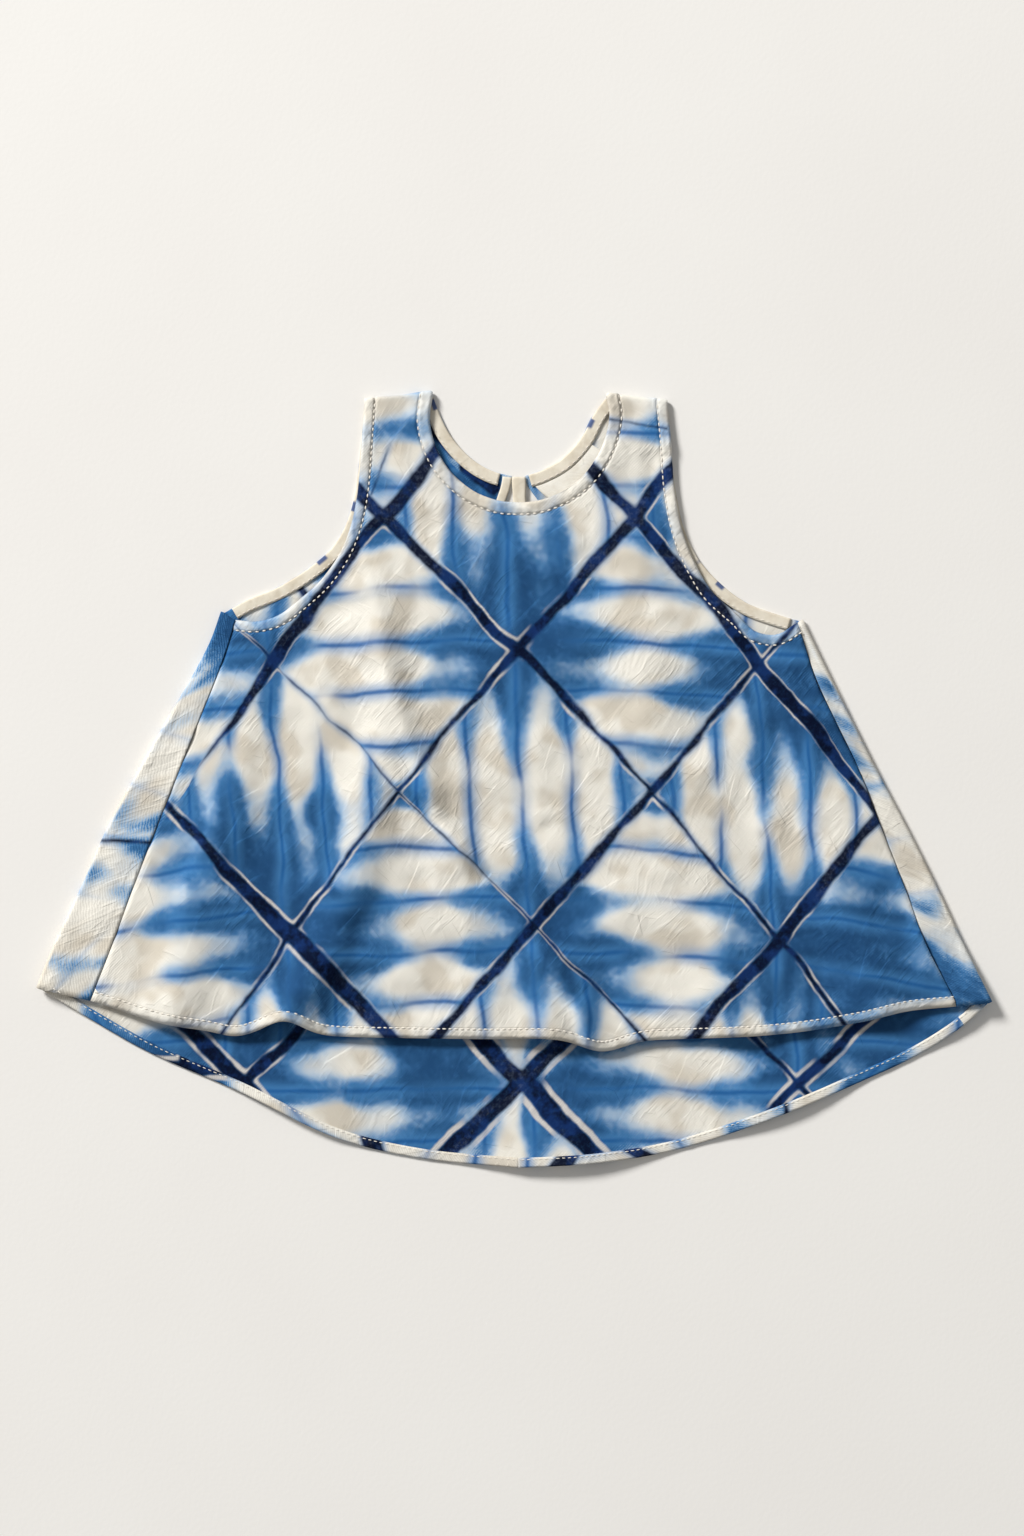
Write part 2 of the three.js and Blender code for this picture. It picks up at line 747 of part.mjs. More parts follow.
// The tab that hangs from the neck edge over the keyhole.
function keyholeTab() {
  const topY = NECK_BASE_Y.back - TRIM_INSET;
  const curve = smoothCurve([
    { x: CENTRE_X + TAB_LEAN.top, y: topY },
    { x: CENTRE_X + TAB_LEAN.foot, y: topY - TAB_LENGTH },
  ]);
  return trimAlong(curve, {
    from: 0,
    to: 1,
    slant: 0,
    steps: 8,
    inset: -TAB_WIDTH / 2,
    width: TAB_WIDTH,
    across: 1,
  });
}

const DYED = { color: 0x6f93bd, roughness: 0.9, metalness: 0 };
const PLAIN = { color: 0xe6dfd0, roughness: 0.9, metalness: 0 };

function piece(name, geometry, finish) {
  const mesh = new THREE.Mesh(geometry, new THREE.MeshStandardMaterial(finish));
  mesh.name = name;
  return mesh;
}

const top = new THREE.Group();
top.add(
  piece("front_panel", frontPanel(), DYED),
  piece("back_panel", backPanel(), DYED),
  piece("keyhole_tab", keyholeTab(), PLAIN),
);
for (const row of EDGE_TRIMS) top.add(piece(row.name, edgeTrim(row), PLAIN));

// The part's origin is the middle of its underside.
const bounds = new THREE.Box3().setFromObject(top);
const middle = bounds.getCenter(new THREE.Vector3());
top.position.set(-middle.x, -middle.y, -bounds.min.z);

export default top;
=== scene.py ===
"""Dresses the flat-laid, tie-dyed A-line top: panels, trims, stitches, dye, floor, light and camera."""

import logging
import math
import random
from dataclasses import dataclass, field
from enum import Enum
from functools import partial
from typing import Callable, NamedTuple, Sequence

import bmesh
import bpy
import numpy as np
from mathutils import Matrix, Vector
from mathutils import noise as value_noise
from mathutils.bvhtree import BVHTree


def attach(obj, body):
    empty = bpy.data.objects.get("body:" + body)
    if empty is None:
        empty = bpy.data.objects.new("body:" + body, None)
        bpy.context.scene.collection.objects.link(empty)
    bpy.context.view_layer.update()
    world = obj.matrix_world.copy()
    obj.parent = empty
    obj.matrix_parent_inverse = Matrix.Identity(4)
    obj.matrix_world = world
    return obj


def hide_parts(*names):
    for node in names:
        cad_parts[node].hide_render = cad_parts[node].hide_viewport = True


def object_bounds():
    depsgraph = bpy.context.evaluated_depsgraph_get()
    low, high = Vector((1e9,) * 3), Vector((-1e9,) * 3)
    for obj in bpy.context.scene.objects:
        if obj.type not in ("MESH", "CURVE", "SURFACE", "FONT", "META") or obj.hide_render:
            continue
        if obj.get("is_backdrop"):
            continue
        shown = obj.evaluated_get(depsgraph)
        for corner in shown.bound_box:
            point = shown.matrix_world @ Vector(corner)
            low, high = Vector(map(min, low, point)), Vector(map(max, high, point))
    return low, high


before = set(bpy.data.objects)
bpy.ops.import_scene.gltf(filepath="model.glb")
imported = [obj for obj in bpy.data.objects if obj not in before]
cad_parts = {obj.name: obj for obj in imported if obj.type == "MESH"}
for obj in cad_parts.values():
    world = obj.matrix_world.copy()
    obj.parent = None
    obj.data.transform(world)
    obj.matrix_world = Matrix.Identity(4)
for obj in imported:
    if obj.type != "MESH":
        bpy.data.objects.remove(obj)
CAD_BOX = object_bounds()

# Short names for types
Array = np.ndarray
ShareLine = Callable[[Array], Array]  # a line's points by the share of its length or height
Material, NodeTree, Piece = bpy.types.Material, bpy.types.NodeTree, bpy.types.Object
Socket = bpy.types.NodeSocket

LOG = logging.getLogger("top")
METRE = 0.001  # the pattern's sizes are in millimetres
CENTRING = np.array([0.165, 0.055])  # moves the pattern's middle to the origin

# Cloth and layers
CLOTH = 0.5
BACK_REST = 0.32  # middle of the back's cloth above the floor
LAYER_RISE = 3.4  # from the middle of the back to the middle of the front, at the edges
BELLY_RISE = 1.5
SIDE_HALF = 2.3  # from the outline in to the centre of a fold
SEAM_GAP = 0.4
SHOULDER_WRAP = 6.0
CENTRE_X = 2.0
HEM_Y = {"front": -132.8, "back": -198.4}
NECK_Y = {"front": 141.0, "back": 154.6}
STITCH_PITCH = 3.0
FACING_STITCHES = 0.9  # from a facing's outer edge in to its stitches
HEM_STITCHES = 0.8
OFF_CLOTH = 0.0002  # a stitch lower than this, in metres, lies beside the cloth


class Side(Enum):
    """A side of the top as seen from above."""

    LEFT = "left"
    RIGHT = "right"

    @property
    def sign(self) -> int:
        """Return -1 on the left and 1 on the right."""
        return -1 if self is Side.LEFT else 1


class Spot(NamedTuple):
    """A point of the pattern."""

    x: float
    y: float


class SideRow(NamedTuple):
    """Where the side folds and the side seams stand at one height."""

    y: float
    left_fold: float
    left_seam: float
    right_seam: float
    right_fold: float


class Crest(NamedTuple):
    """A point on the crest of a fold."""

    x: float
    y: float
    height: float
    width: float


class Lift(NamedTuple):
    """A place where the cloth stands off the surface."""

    x: float
    y: float
    height: float
    reach: float


class Wave(NamedTuple):
    """A shift of the front hem's edge by a fold that ends in it."""

    x: float
    shift: float
    width: float


class Slit(NamedTuple):
    """How far the keyhole's edges stand from the centre back at one height."""

    y: float
    left: float
    right: float


class Crease(NamedTuple):
    """A crease from one point to another: a ridge, or a trough where its height is below 0."""

    x: float
    y: float
    to_x: float
    to_y: float
    height: float
    width: float
    right_width: float = 0.0  # on the right-hand side of its direction, where that differs


SIDES = (
    SideRow(-114, -247.2, -216.6, 225.2, 244.2),
    SideRow(-85, -235.6, -205.3, 210.3, 230.0),
    SideRow(-55, -221.6, -194.2, 199.0, 216.0),
    SideRow(-25, -208.3, -182.5, 187.3, 201.0),
    SideRow(5, -192.0, -170.6, 175.6, 185.2),
    SideRow(30, -178.0, -160.6, 163.6, 172.6),
    SideRow(50, -166.3, -152.5, 154.2, 162.7),
    SideRow(70, -155.8, -145.4, 147.6, 153.0),
    SideRow(86, -150.0, -141.0, 142.4, 145.6),
)


@dataclass(frozen=True)
class SideEnds:
    """Where one side's lines stop, at the hem and at the underarm."""

    fold_hem: float
    seam_hem: float
    fold_top: float
    seam_top: float


SIDE_ENDS = {
    Side.LEFT: SideEnds(-106.3, -113.2, 85.6, 81.0),
    Side.RIGHT: SideEnds(-113.2, -115.9, 81.6, 79.6),
}
FRONT_ARMHOLE = {
    Side.LEFT: (
        Spot(-131.6, 80.2), Spot(-121.0, 83.0), Spot(-110.2, 90.8), Spot(-98.5, 101.5),
        Spot(-90.0, 113.4), Spot(-83.8, 127.8), Spot(-80.0, 145.0), Spot(-77.8, 171.0),
    ),
    Side.RIGHT: (
        Spot(134.0, 73.6), Spot(123.0, 75.2), Spot(114.0, 83.4), Spot(101.0, 95.4), Spot(91.8, 110.6),
        Spot(85.4, 127.5), Spot(81.6, 148.0), Spot(79.8, 172.0),
    ),
}
BACK_ARMHOLE = {
    Side.LEFT: (
        Spot(-137.2, 91.0), Spot(-121.4, 97.6), Spot(-107.1, 106.2), Spot(-93.0, 118.2),
        Spot(-85.6, 131.0), Spot(-81.4, 146.0), Spot(-78.6, 168.0),
    ),
    Side.RIGHT: (
        Spot(134.4, 84.0), Spot(119.0, 89.8), Spot(106.0, 99.2), Spot(94.0, 112.4), Spot(87.0, 127.0),
        Spot(82.4, 147.0), Spot(79.8, 170.0),
    ),
}
FRONT_NECK = {
    Side.LEFT: (
        Spot(-8.2, 141.9), Spot(-20.7, 146.8), Spot(-32.0, 156.0), Spot(-39.4, 167.5), Spot(-43.2, 182.0),
    ),
    Side.RIGHT: (
        Spot(12.6, 142.0), Spot(26.0, 147.6), Spot(37.0, 156.6), Spot(45.2, 170.5), Spot(48.6, 185.0),
    ),
}
BACK_NECK = {
    Side.LEFT: (Spot(-11.5, 157.4), Spot(-21.5, 163.4), Spot(-32.0, 174.6), Spot(-38.0, 186.0)),
    Side.RIGHT: (Spot(14.0, 157.6), Spot(25.0, 164.0), Spot(34.4, 174.6), Spot(40.4, 186.0)),
}
# Outer line of each shoulder fold: its neck end, then its armhole end
SHOULDER = {
    Side.LEFT: (Spot(-42.0, 198.4), Spot(-76.6, 194.6)),
    Side.RIGHT: (Spot(47.2, 197.2), Spot(78.2, 194.0)),
}
KEYHOLE = (
    Slit(113.6, 4.6, 4.8), Slit(121.0, 8.2, 9.4), Slit(131.0, 8.6, 11.8), Slit(141.0, 6.6, 10.6),
    Slit(147.0, 4.6, 6.6), Slit(151.0, 3.7, 4.2),
)
KEYHOLE_FOOT_Y = 110.5
KEYHOLE_TOP_HALF = 3.2
FRONT_HEM = (
    Spot(-177, -125.0), Spot(-141, -129.6), Spot(-79, -131.6), Spot(61, -133.0), Spot(105, -131.8),
    Spot(142, -129.4), Spot(176, -124.0), Spot(199, -118.6),
)
HEM_WAVES = (Wave(-144, -1.8, 10), Wave(-117, 7.6, 13), Wave(16, 0.8, 16), Wave(45, -5.8, 15))
BACK_HEM = (
    Spot(-213, -125.0), Spot(-187, -139.5), Spot(-139, -160.4), Spot(-89, -184.0), Spot(-47, -194.0),
    Spot(44, -195.8), Spot(83, -189.5), Spot(126, -175.5), Spot(174, -156.0), Spot(207, -140.6),
    Spot(229, -126.0),
)
FRONT_FOLDS = {
    "left_cone": (
        Crest(-73, 98, 2.0, 10), Crest(-66, 30, 4.5, 11), Crest(-78, -42, 5.5, 13),
        Crest(-100, -93, 6.0, 13), Crest(-119, -126, 7.0, 12),
    ),
    "left_branch": (Crest(-60, 14, 1.5, 7), Crest(-35, -29, 3.0, 8), Crest(-28, -52, 0.5, 9)),
    "centre_cone": (Crest(6, -62, 0.5, 10), Crest(13, -105, 3.5, 11), Crest(17, -134, 5.0, 12)),
    "right_cone": (
        Crest(140, 45, 1.0, 13), Crest(153, -11, 2.6, 14), Crest(170, -64, 3.6, 14),
        Crest(188, -120, 4.4, 14),
    ),
    "right_chest": (Crest(62, 112, 0.8, 14), Crest(72, 30, 2.4, 16), Crest(86, -52, 0.8, 16)),
    "right_hem": (Crest(104, -64, 0.4, 13), Crest(116, -131, 3.8, 14)),
    "left_side": (
        Crest(-127, 58, 0.8, 12), Crest(-146, -20, 2.6, 13), Crest(-176, -125, 3.6, 14),
    ),
}
BACK_LIFTS = (
    Lift(-242, -108, 2.0, 34), Lift(-112, -176, 3.0, 48), Lift(26, -200, 5.0, 62),
    Lift(140, -172, 3.5, 50), Lift(240, -116, 3.5, 44),
)

# Rows of the pattern, as the solids have them
SEAM_ROWS = 14
FRONT_CHEST_ROWS = 14
FRONT_NECK_ROWS = 11
FRONT_ROWS = SEAM_ROWS + FRONT_CHEST_ROWS + FRONT_NECK_ROWS
UNDERARM_ROW_Y = 10.0
BACK_CENTRE_ROWS = 16
KEYHOLE_ROWS = 6
BACK_NECK_ROWS = 8
BACK_ROWS = BACK_CENTRE_ROWS + KEYHOLE_ROWS + BACK_NECK_ROWS


class SmoothCurve:
    """A centripetal Catmull-Rom curve in the plane, measured along its length."""

    def __init__(self, points: Sequence[Sequence[float]]) -> None:
        """Sample the curve.

        Args:
            points: the points that it passes through.
        """
        spots = [np.array(p[:2], dtype=float) for p in points]
        padded = [2 * spots[0] - spots[1], *spots, 2 * spots[-1] - spots[-2]]
        spans = [self._span(*padded[i : i + 4]) for i in range(len(spots) - 1)]
        self.line = np.vstack([*spans, spots[-1][None]])
        steps = np.linalg.norm(np.diff(self.line, axis=0), axis=1)
        self.reach = np.concatenate([[0.0], np.cumsum(steps)])

    @staticmethod
    def _span(p0: Array, p1: Array, p2: Array, p3: Array) -> Array:
        """Sample the stretch from p1 to p2.

        Args:
            p0: the point before the stretch.
            p1: its first point.
            p2: its last point.
            p3: the point after it.

        Returns:
            The points from p1 up to just before p2.
        """
        d0, d1, d2 = (math.sqrt(float(np.linalg.norm(b - a))) for a, b in ((p0, p1), (p1, p2), (p2, p3)))
        first = ((p1 - p0) / d0 - (p2 - p0) / (d0 + d1) + (p2 - p1) / d1) * d1
        last = ((p2 - p1) / d1 - (p3 - p1) / (d1 + d2) + (p3 - p2) / d2) * d1
        t = np.linspace(0, 1, 40, endpoint=False)[:, None]
        square = 3 * (p2 - p1) - 2 * first - last
        cube = 2 * (p1 - p2) + first + last
        return p1 + first * t + square * t**2 + cube * t**3

    @property
    def length(self) -> float:
        """Return the curve's length."""
        return float(self.reach[-1])

    def at(self, share: Array) -> Array:
        """Return the points at shares of the length."""
        where = np.asarray(share, dtype=float) * self.length
        return np.stack([np.interp(where, self.reach, self.line[:, i]) for i in (0, 1)], axis=-1)

    def along(self, share: Array) -> Array:
        """Give the curve's directions.

        Args:
            share: shares of its length.

        Returns:
            The unit direction at each share.
        """
        share = np.asarray(share, dtype=float)
        step = 0.5 / self.length
        ahead = self.at(np.clip(share + step, 0, 1)) - self.at(np.clip(share - step, 0, 1))
        return ahead / np.linalg.norm(ahead, axis=-1, keepdims=True)


class RowLine:
    """An edge of a panel as a function of the row number, from stretches of one curve each."""

    def __init__(self, stretches: Sequence[tuple[int, ShareLine]]) -> None:
        """Sample the stretches.

        Args:
            stretches: each stretch's number of rows, and its points as a function of a share.
        """
        rows, points, start = [], [], 0
        for count, curve in stretches:
            share = np.linspace(0, 1, count * 16 + 1)
            rows.append(start + share * count)
            points.append(curve(share))
            start += count
        self.rows = np.concatenate(rows)
        self.points = np.vstack(points)

    def at(self, row: Array) -> Array:
        """Return the edge's points at row numbers."""
        return np.stack([np.interp(row, self.rows, self.points[:, i]) for i in (0, 1)], axis=-1)


def straight(a: Sequence[float], b: Sequence[float]) -> ShareLine:
    """Return the straight line from a to b as a function of a share."""
    start, end = np.array(a, dtype=float), np.array(b, dtype=float)
    return lambda share: start + (end - start) * np.asarray(share)[..., None]


def smooth_step(value: Array, low: float, high: float) -> Array:
    """Return 0 below low, 1 above high and a smooth rise between them."""
    t = np.clip((value - low) / (high - low), 0, 1)
    return t * t * (3 - 2 * t)


def distance_to(points: Array, line: Array) -> Array:
    """Measure how far points lie from a broken line.

    Args:
        points: places in the plane.
        line: the line's corners.

    Returns:
        The distance of each point.
    """
    best = np.full(len(points), np.inf)
    for a, b in zip(line[:-1], line[1:]):
        way = b - a
        t = np.clip((points - a) @ way / max(float(way @ way), 1e-9), 0, 1)
        best = np.minimum(best, np.linalg.norm(points - a - t[:, None] * way, axis=1))
    return best


class Pattern:
    """The cut of the top: every edge in the plane, as the solids have it."""

    def side_line(self, column: str, low_y: float, high_y: float) -> ShareLine:
        """Give a side fold or side seam between two heights.

        Args:
            column: the line's column in the table of the sides.
            low_y: where it starts.
            high_y: where it ends.

        Returns:
            Its points as a function of a share of the height.
        """
        line = SmoothCurve([(getattr(row, column), row.y) for row in SIDES]).line

        def points(share: Array) -> Array:
            """Return the line's points at shares of the height."""
            y = low_y + (high_y - low_y) * np.asarray(share)
            return np.stack([np.interp(y, line[:, 1], line[:, 0]), y], axis=-1)

        return points

    def seam(self, side: Side) -> ShareLine:
        """Return a side seam from the hem to the underarm."""
        ends = SIDE_ENDS[side]
        return self.side_line(f"{side.value}_seam", ends.seam_hem, ends.seam_top)

    def fold_centre(self, side: Side) -> ShareLine:
        """Give the centre line of a side fold.

        Args:
            side: which fold.

        Returns:
            Its points as a function of a share, from the hem to the underarm.
        """
        ends = SIDE_ENDS[side]
        line = self.side_line(f"{side.value}_fold", ends.fold_hem, ends.fold_top)
        return lambda share: line(share) - self.fold_out(side, share) * SIDE_HALF

    def fold_out(self, side: Side, share: Array) -> Array:
        """Give the way out of a side fold.

        Args:
            side: which fold.
            share: shares of its height.

        Returns:
            The outward direction at each share.
        """
        ends = SIDE_ENDS[side]
        line = self.side_line(f"{side.value}_fold", ends.fold_hem, ends.fold_top)
        share = np.asarray(share, dtype=float)
        ahead = line(np.clip(share + 0.03, 0, 1)) - line(np.clip(share - 0.03, 0, 1))
        ahead /= np.linalg.norm(ahead, axis=-1, keepdims=True)
        return np.stack([ahead[..., 1], -ahead[..., 0]], axis=-1) * side.sign

    def shoulder(self, side: Side, share: Array, back: float = 0.0) -> tuple[Array, Array]:
        """Give the shoulder fold's centre.

        Args:
            side: the side of the top.
            share: from the neck to the armhole.
            back: how far down the back from the fold's centre.

        Returns:
            The centre points and the fold's outward direction.
        """
        neck, arm = (np.array(p) for p in SHOULDER[side])
        along = (arm - neck) / np.linalg.norm(arm - neck)
        out = np.array([along[1], -along[0]])
        out = out if out[1] > 0 else -out
        centre = neck + (arm - neck) * np.asarray(share)[..., None] - out * (SIDE_HALF + back)
        return centre, out

    def front_neck(self, side: Side) -> SmoothCurve:
        """Return the front neck edge from the centre to the shoulder."""
        last = self.shoulder(side, np.array(0.0))[0]
        return SmoothCurve([(CENTRE_X, NECK_Y["front"]), *FRONT_NECK[side], last])

    def front_armhole(self, side: Side) -> SmoothCurve:
        """Return the front armhole edge from the seam to the shoulder."""
        start = self.front_seam(side)(np.array(1.0))
        return SmoothCurve([start, *FRONT_ARMHOLE[side], self.shoulder(side, np.array(1.0))[0]])

    def front_seam(self, side: Side) -> ShareLine:
        """Give the front's edge at a side seam.

        Args:
            side: which seam.

        Returns:
            Its points as a function of a share of the seam.
        """
        seam = self.seam(side)
        shift = np.array([-side.sign * SEAM_GAP / 2, 0.0])
        return lambda share: seam(share) + shift

    def back_neck(self, side: Side, back: float) -> SmoothCurve:
        """Return the back neck edge from the keyhole to the shoulder, or short of it by back."""
        start = (CENTRE_X + side.sign * KEYHOLE_TOP_HALF, NECK_Y["back"])
        return SmoothCurve([start, *BACK_NECK[side], self.shoulder(side, np.array(0.0), back)[0]])

    def back_armhole(self, side: Side, back: float) -> SmoothCurve:
        """Return the back armhole edge from the underarm to the shoulder, or short of it by back."""
        start = self.fold_centre(side)(np.array(1.0))
        return SmoothCurve([start, *BACK_ARMHOLE[side], self.shoulder(side, np.array(1.0), back)[0]])

    def keyhole(self, side: Side) -> SmoothCurve:
        """Give one edge of the keyhole.

        Args:
            side: which edge.

        Returns:
            The edge from its foot to the neck edge.
        """
        edge = [(CENTRE_X + side.sign * getattr(row, side.value), row.y) for row in KEYHOLE]
        top = (CENTRE_X + side.sign * KEYHOLE_TOP_HALF, NECK_Y["back"])
        return SmoothCurve([(CENTRE_X, KEYHOLE_FOOT_Y), *edge, top])

    def hem(self, table: Sequence[Spot], centre_y: float, last: Array) -> SmoothCurve:
        """Give half of a hem edge.

        Args:
            table: the hem's points.
            centre_y: its height at the centre.
            last: its outer end.

        Returns:
            The edge from the centre out.
        """
        outwards = math.copysign(1, float(last[0]) - CENTRE_X)
        half = sorted((p for p in table if (p.x - CENTRE_X) * outwards > 0), key=lambda p: abs(p.x))
        return SmoothCurve([(CENTRE_X, centre_y), *half, last])

    def front_hem(self, side: Side, share: Array) -> Array:
        """Give the front hem, moved by the folds that end in it.

        Args:
            side: which half.
            share: shares of its length from the centre out.

        Returns:
            The point at each share.
        """
        edge = self.hem(FRONT_HEM, HEM_Y["front"], self.front_seam(side)(np.array(0.0))).at(share)
        moved = sum(w.shift * np.exp(-(((edge[..., 0] - w.x) / w.width) ** 2)) for w in HEM_WAVES)
        edge[..., 1] += moved * (np.asarray(share) < 1)
        return edge

    def back_hem(self, side: Side, share: Array) -> Array:
        """Return points of the back hem on the lower layer."""
        return self.hem(BACK_HEM, HEM_Y["back"], self.fold_centre(side)(np.array(0.0))).at(share)

    def front_edges(self, side: Side) -> tuple[RowLine, RowLine]:
        """Give the edges of half of the front.

        Args:
            side: which half.

        Returns:
            The inner edge and the outer edge by row.
        """
        middle = (CENTRE_X, UNDERARM_ROW_Y)
        base = (CENTRE_X, NECK_Y["front"])
        inner = RowLine(
            [
                (SEAM_ROWS, straight((CENTRE_X, HEM_Y["front"]), middle)),
                (FRONT_CHEST_ROWS, straight(middle, base)),
                (FRONT_NECK_ROWS, self.front_neck(side).at),
            ]
        )
        armhole = self.front_armhole(side)
        outer = RowLine([(SEAM_ROWS, self.front_seam(side)), (FRONT_ROWS - SEAM_ROWS, armhole.at)])
        return inner, outer

    def back_edges(self, side: Side) -> tuple[RowLine, RowLine]:
        """Give the edges of half of the back.

        Args:
            side: which half.

        Returns:
            The inner edge and the outer edge by row.
        """
        foot = (CENTRE_X, KEYHOLE_FOOT_Y)
        strap_end = SHOULDER_WRAP + SEAM_GAP
        inner = RowLine(
            [
                (BACK_CENTRE_ROWS, straight((CENTRE_X, HEM_Y["back"]), foot)),
                (KEYHOLE_ROWS, self.keyhole(side).at),
                (BACK_NECK_ROWS, self.back_neck(side, strap_end).at),
            ]
        )
        armhole = self.back_armhole(side, strap_end)
        outer = RowLine([(SEAM_ROWS, self.fold_centre(side)), (BACK_ROWS - SEAM_ROWS, armhole.at)])
        return inner, outer


PATTERN = Pattern()


@dataclass(frozen=True)
class Band:
    """A turned and topstitched edge: how its relief runs in from the edge."""

    depth: float
    puff: float = 0.32
    groove: float = 0.34
    rim: float = 0.55

    def relief(self, distance: Array, along: Array) -> Array:
        """Give the band's height over the flat cloth.

        Args:
            distance: from the edge.
            along: a slowly changing number along the edge, for uneven puckers.

        Returns:
            The height at each place.
        """
        inside = np.clip(distance / self.depth, 0, 1)
        puff = self.puff * np.sin(np.pi * inside) ** 0.8 * (distance < self.depth)
        groove = -self.groove * np.exp(-(((distance - self.depth) / 0.9) ** 2))
        rim = -self.rim * np.exp(-((distance / 0.55) ** 2))
        pucker = 0.22 * np.sin(along * 0.62) * np.exp(-(((distance - self.depth) / 3.2) ** 2))
        return puff + groove + rim + pucker * np.sin(along * 0.17 + 1.0)


NECK_BAND = Band(6.2)
ARMHOLE_BAND = Band(5.2)
HEM_BAND = Band(5.0)


def crest_height(crest: Sequence[Crest], x: Array, y: Array) -> Array:
    """Give the height that a fold adds.

    Args:
        crest: points along its crest.
        x: places across the top.
        y: places along it.

    Returns:
        The added height at each place.
    """
    best = np.full(np.shape(x), np.inf)
    height = np.zeros(np.shape(x))
    for a, b in zip(crest[:-1], crest[1:]):
        way_x, way_y = b.x - a.x, b.y - a.y
        t = np.clip(((x - a.x) * way_x + (y - a.y) * way_y) / (way_x**2 + way_y**2), 0, 1)
        distance = np.hypot(x - a.x - t * way_x, y - a.y - t * way_y)
        width = a.width + (b.width - a.width) * t
        here = (a.height + (b.height - a.height) * t) * np.exp(-((distance / width) ** 2))
        height = np.where(distance < best, here, height)
        best = np.minimum(best, distance)
    return height


def crease_height(creases: Sequence[Crease], x: Array, y: Array) -> Array:
    """Give the height that creases add.

    Args:
        creases: their ends, heights and widths.
        x: places across the top.
        y: places along it.

    Returns:
        The added height at each place.
    """
    total = np.zeros(np.shape(x))
    for c in creases:
        way_x, way_y = c.to_x - c.x, c.to_y - c.y
        along = ((x - c.x) * way_x + (y - c.y) * way_y) / (way_x**2 + way_y**2)
        t = np.clip(along, 0, 1)
        distance = np.hypot(x - c.x - t * way_x, y - c.y - t * way_y)
        right = (x - c.x) * way_y - (y - c.y) * way_x > 0
        width = np.where(right, c.right_width or c.width, c.width)
        fade = np.sin(np.pi * np.clip(t, 0.02, 0.98)) ** 0.7
        total += c.height * fade * np.exp(-((distance / width) ** 2))
    return total


def pressed_creases(seed: int, count: int, box: tuple[float, float, float, float]) -> list[Crease]:
    """Scatter the small press creases that washed cotton keeps.

    Args:
        seed: fixes the scatter.
        count: how many.
        box: lowest x and y, then highest x and y.

    Returns:
        The creases, most of them slanting.
    """
    chance = random.Random(seed)
    creases = []
    for _ in range(count):
        x, y = chance.uniform(box[0], box[2]), chance.uniform(box[1], box[3])
        angle = math.radians(chance.choice((38, 52, -40, -55, 15, 80)) + chance.uniform(-14, 14))
        length = chance.uniform(9, 34)
        height = chance.choice((1, 1, -1)) * chance.uniform(0.12, 0.42)
        end = (x + length * math.cos(angle), y + length * math.sin(angle))
        creases.append(Crease(x, y, *end, height, chance.uniform(1.6, 3.4)))
    return creases


def crumple(x: Array, y: Array, scale: float, seed: float) -> Array:
    """Give smooth uneven heights.

    Args:
        x: places across the top.
        y: places along it.
        scale: how wide the swells are.
        seed: picks the pattern.

    Returns:
        Heights between about -1 and 1.
    """
    spots = zip(np.ravel(x) / scale, np.ravel(y) / scale)
    values = [value_noise.noise(Vector((a, b, seed))) for a, b in spots]
    return np.array(values).reshape(np.shape(x)) * 1.6


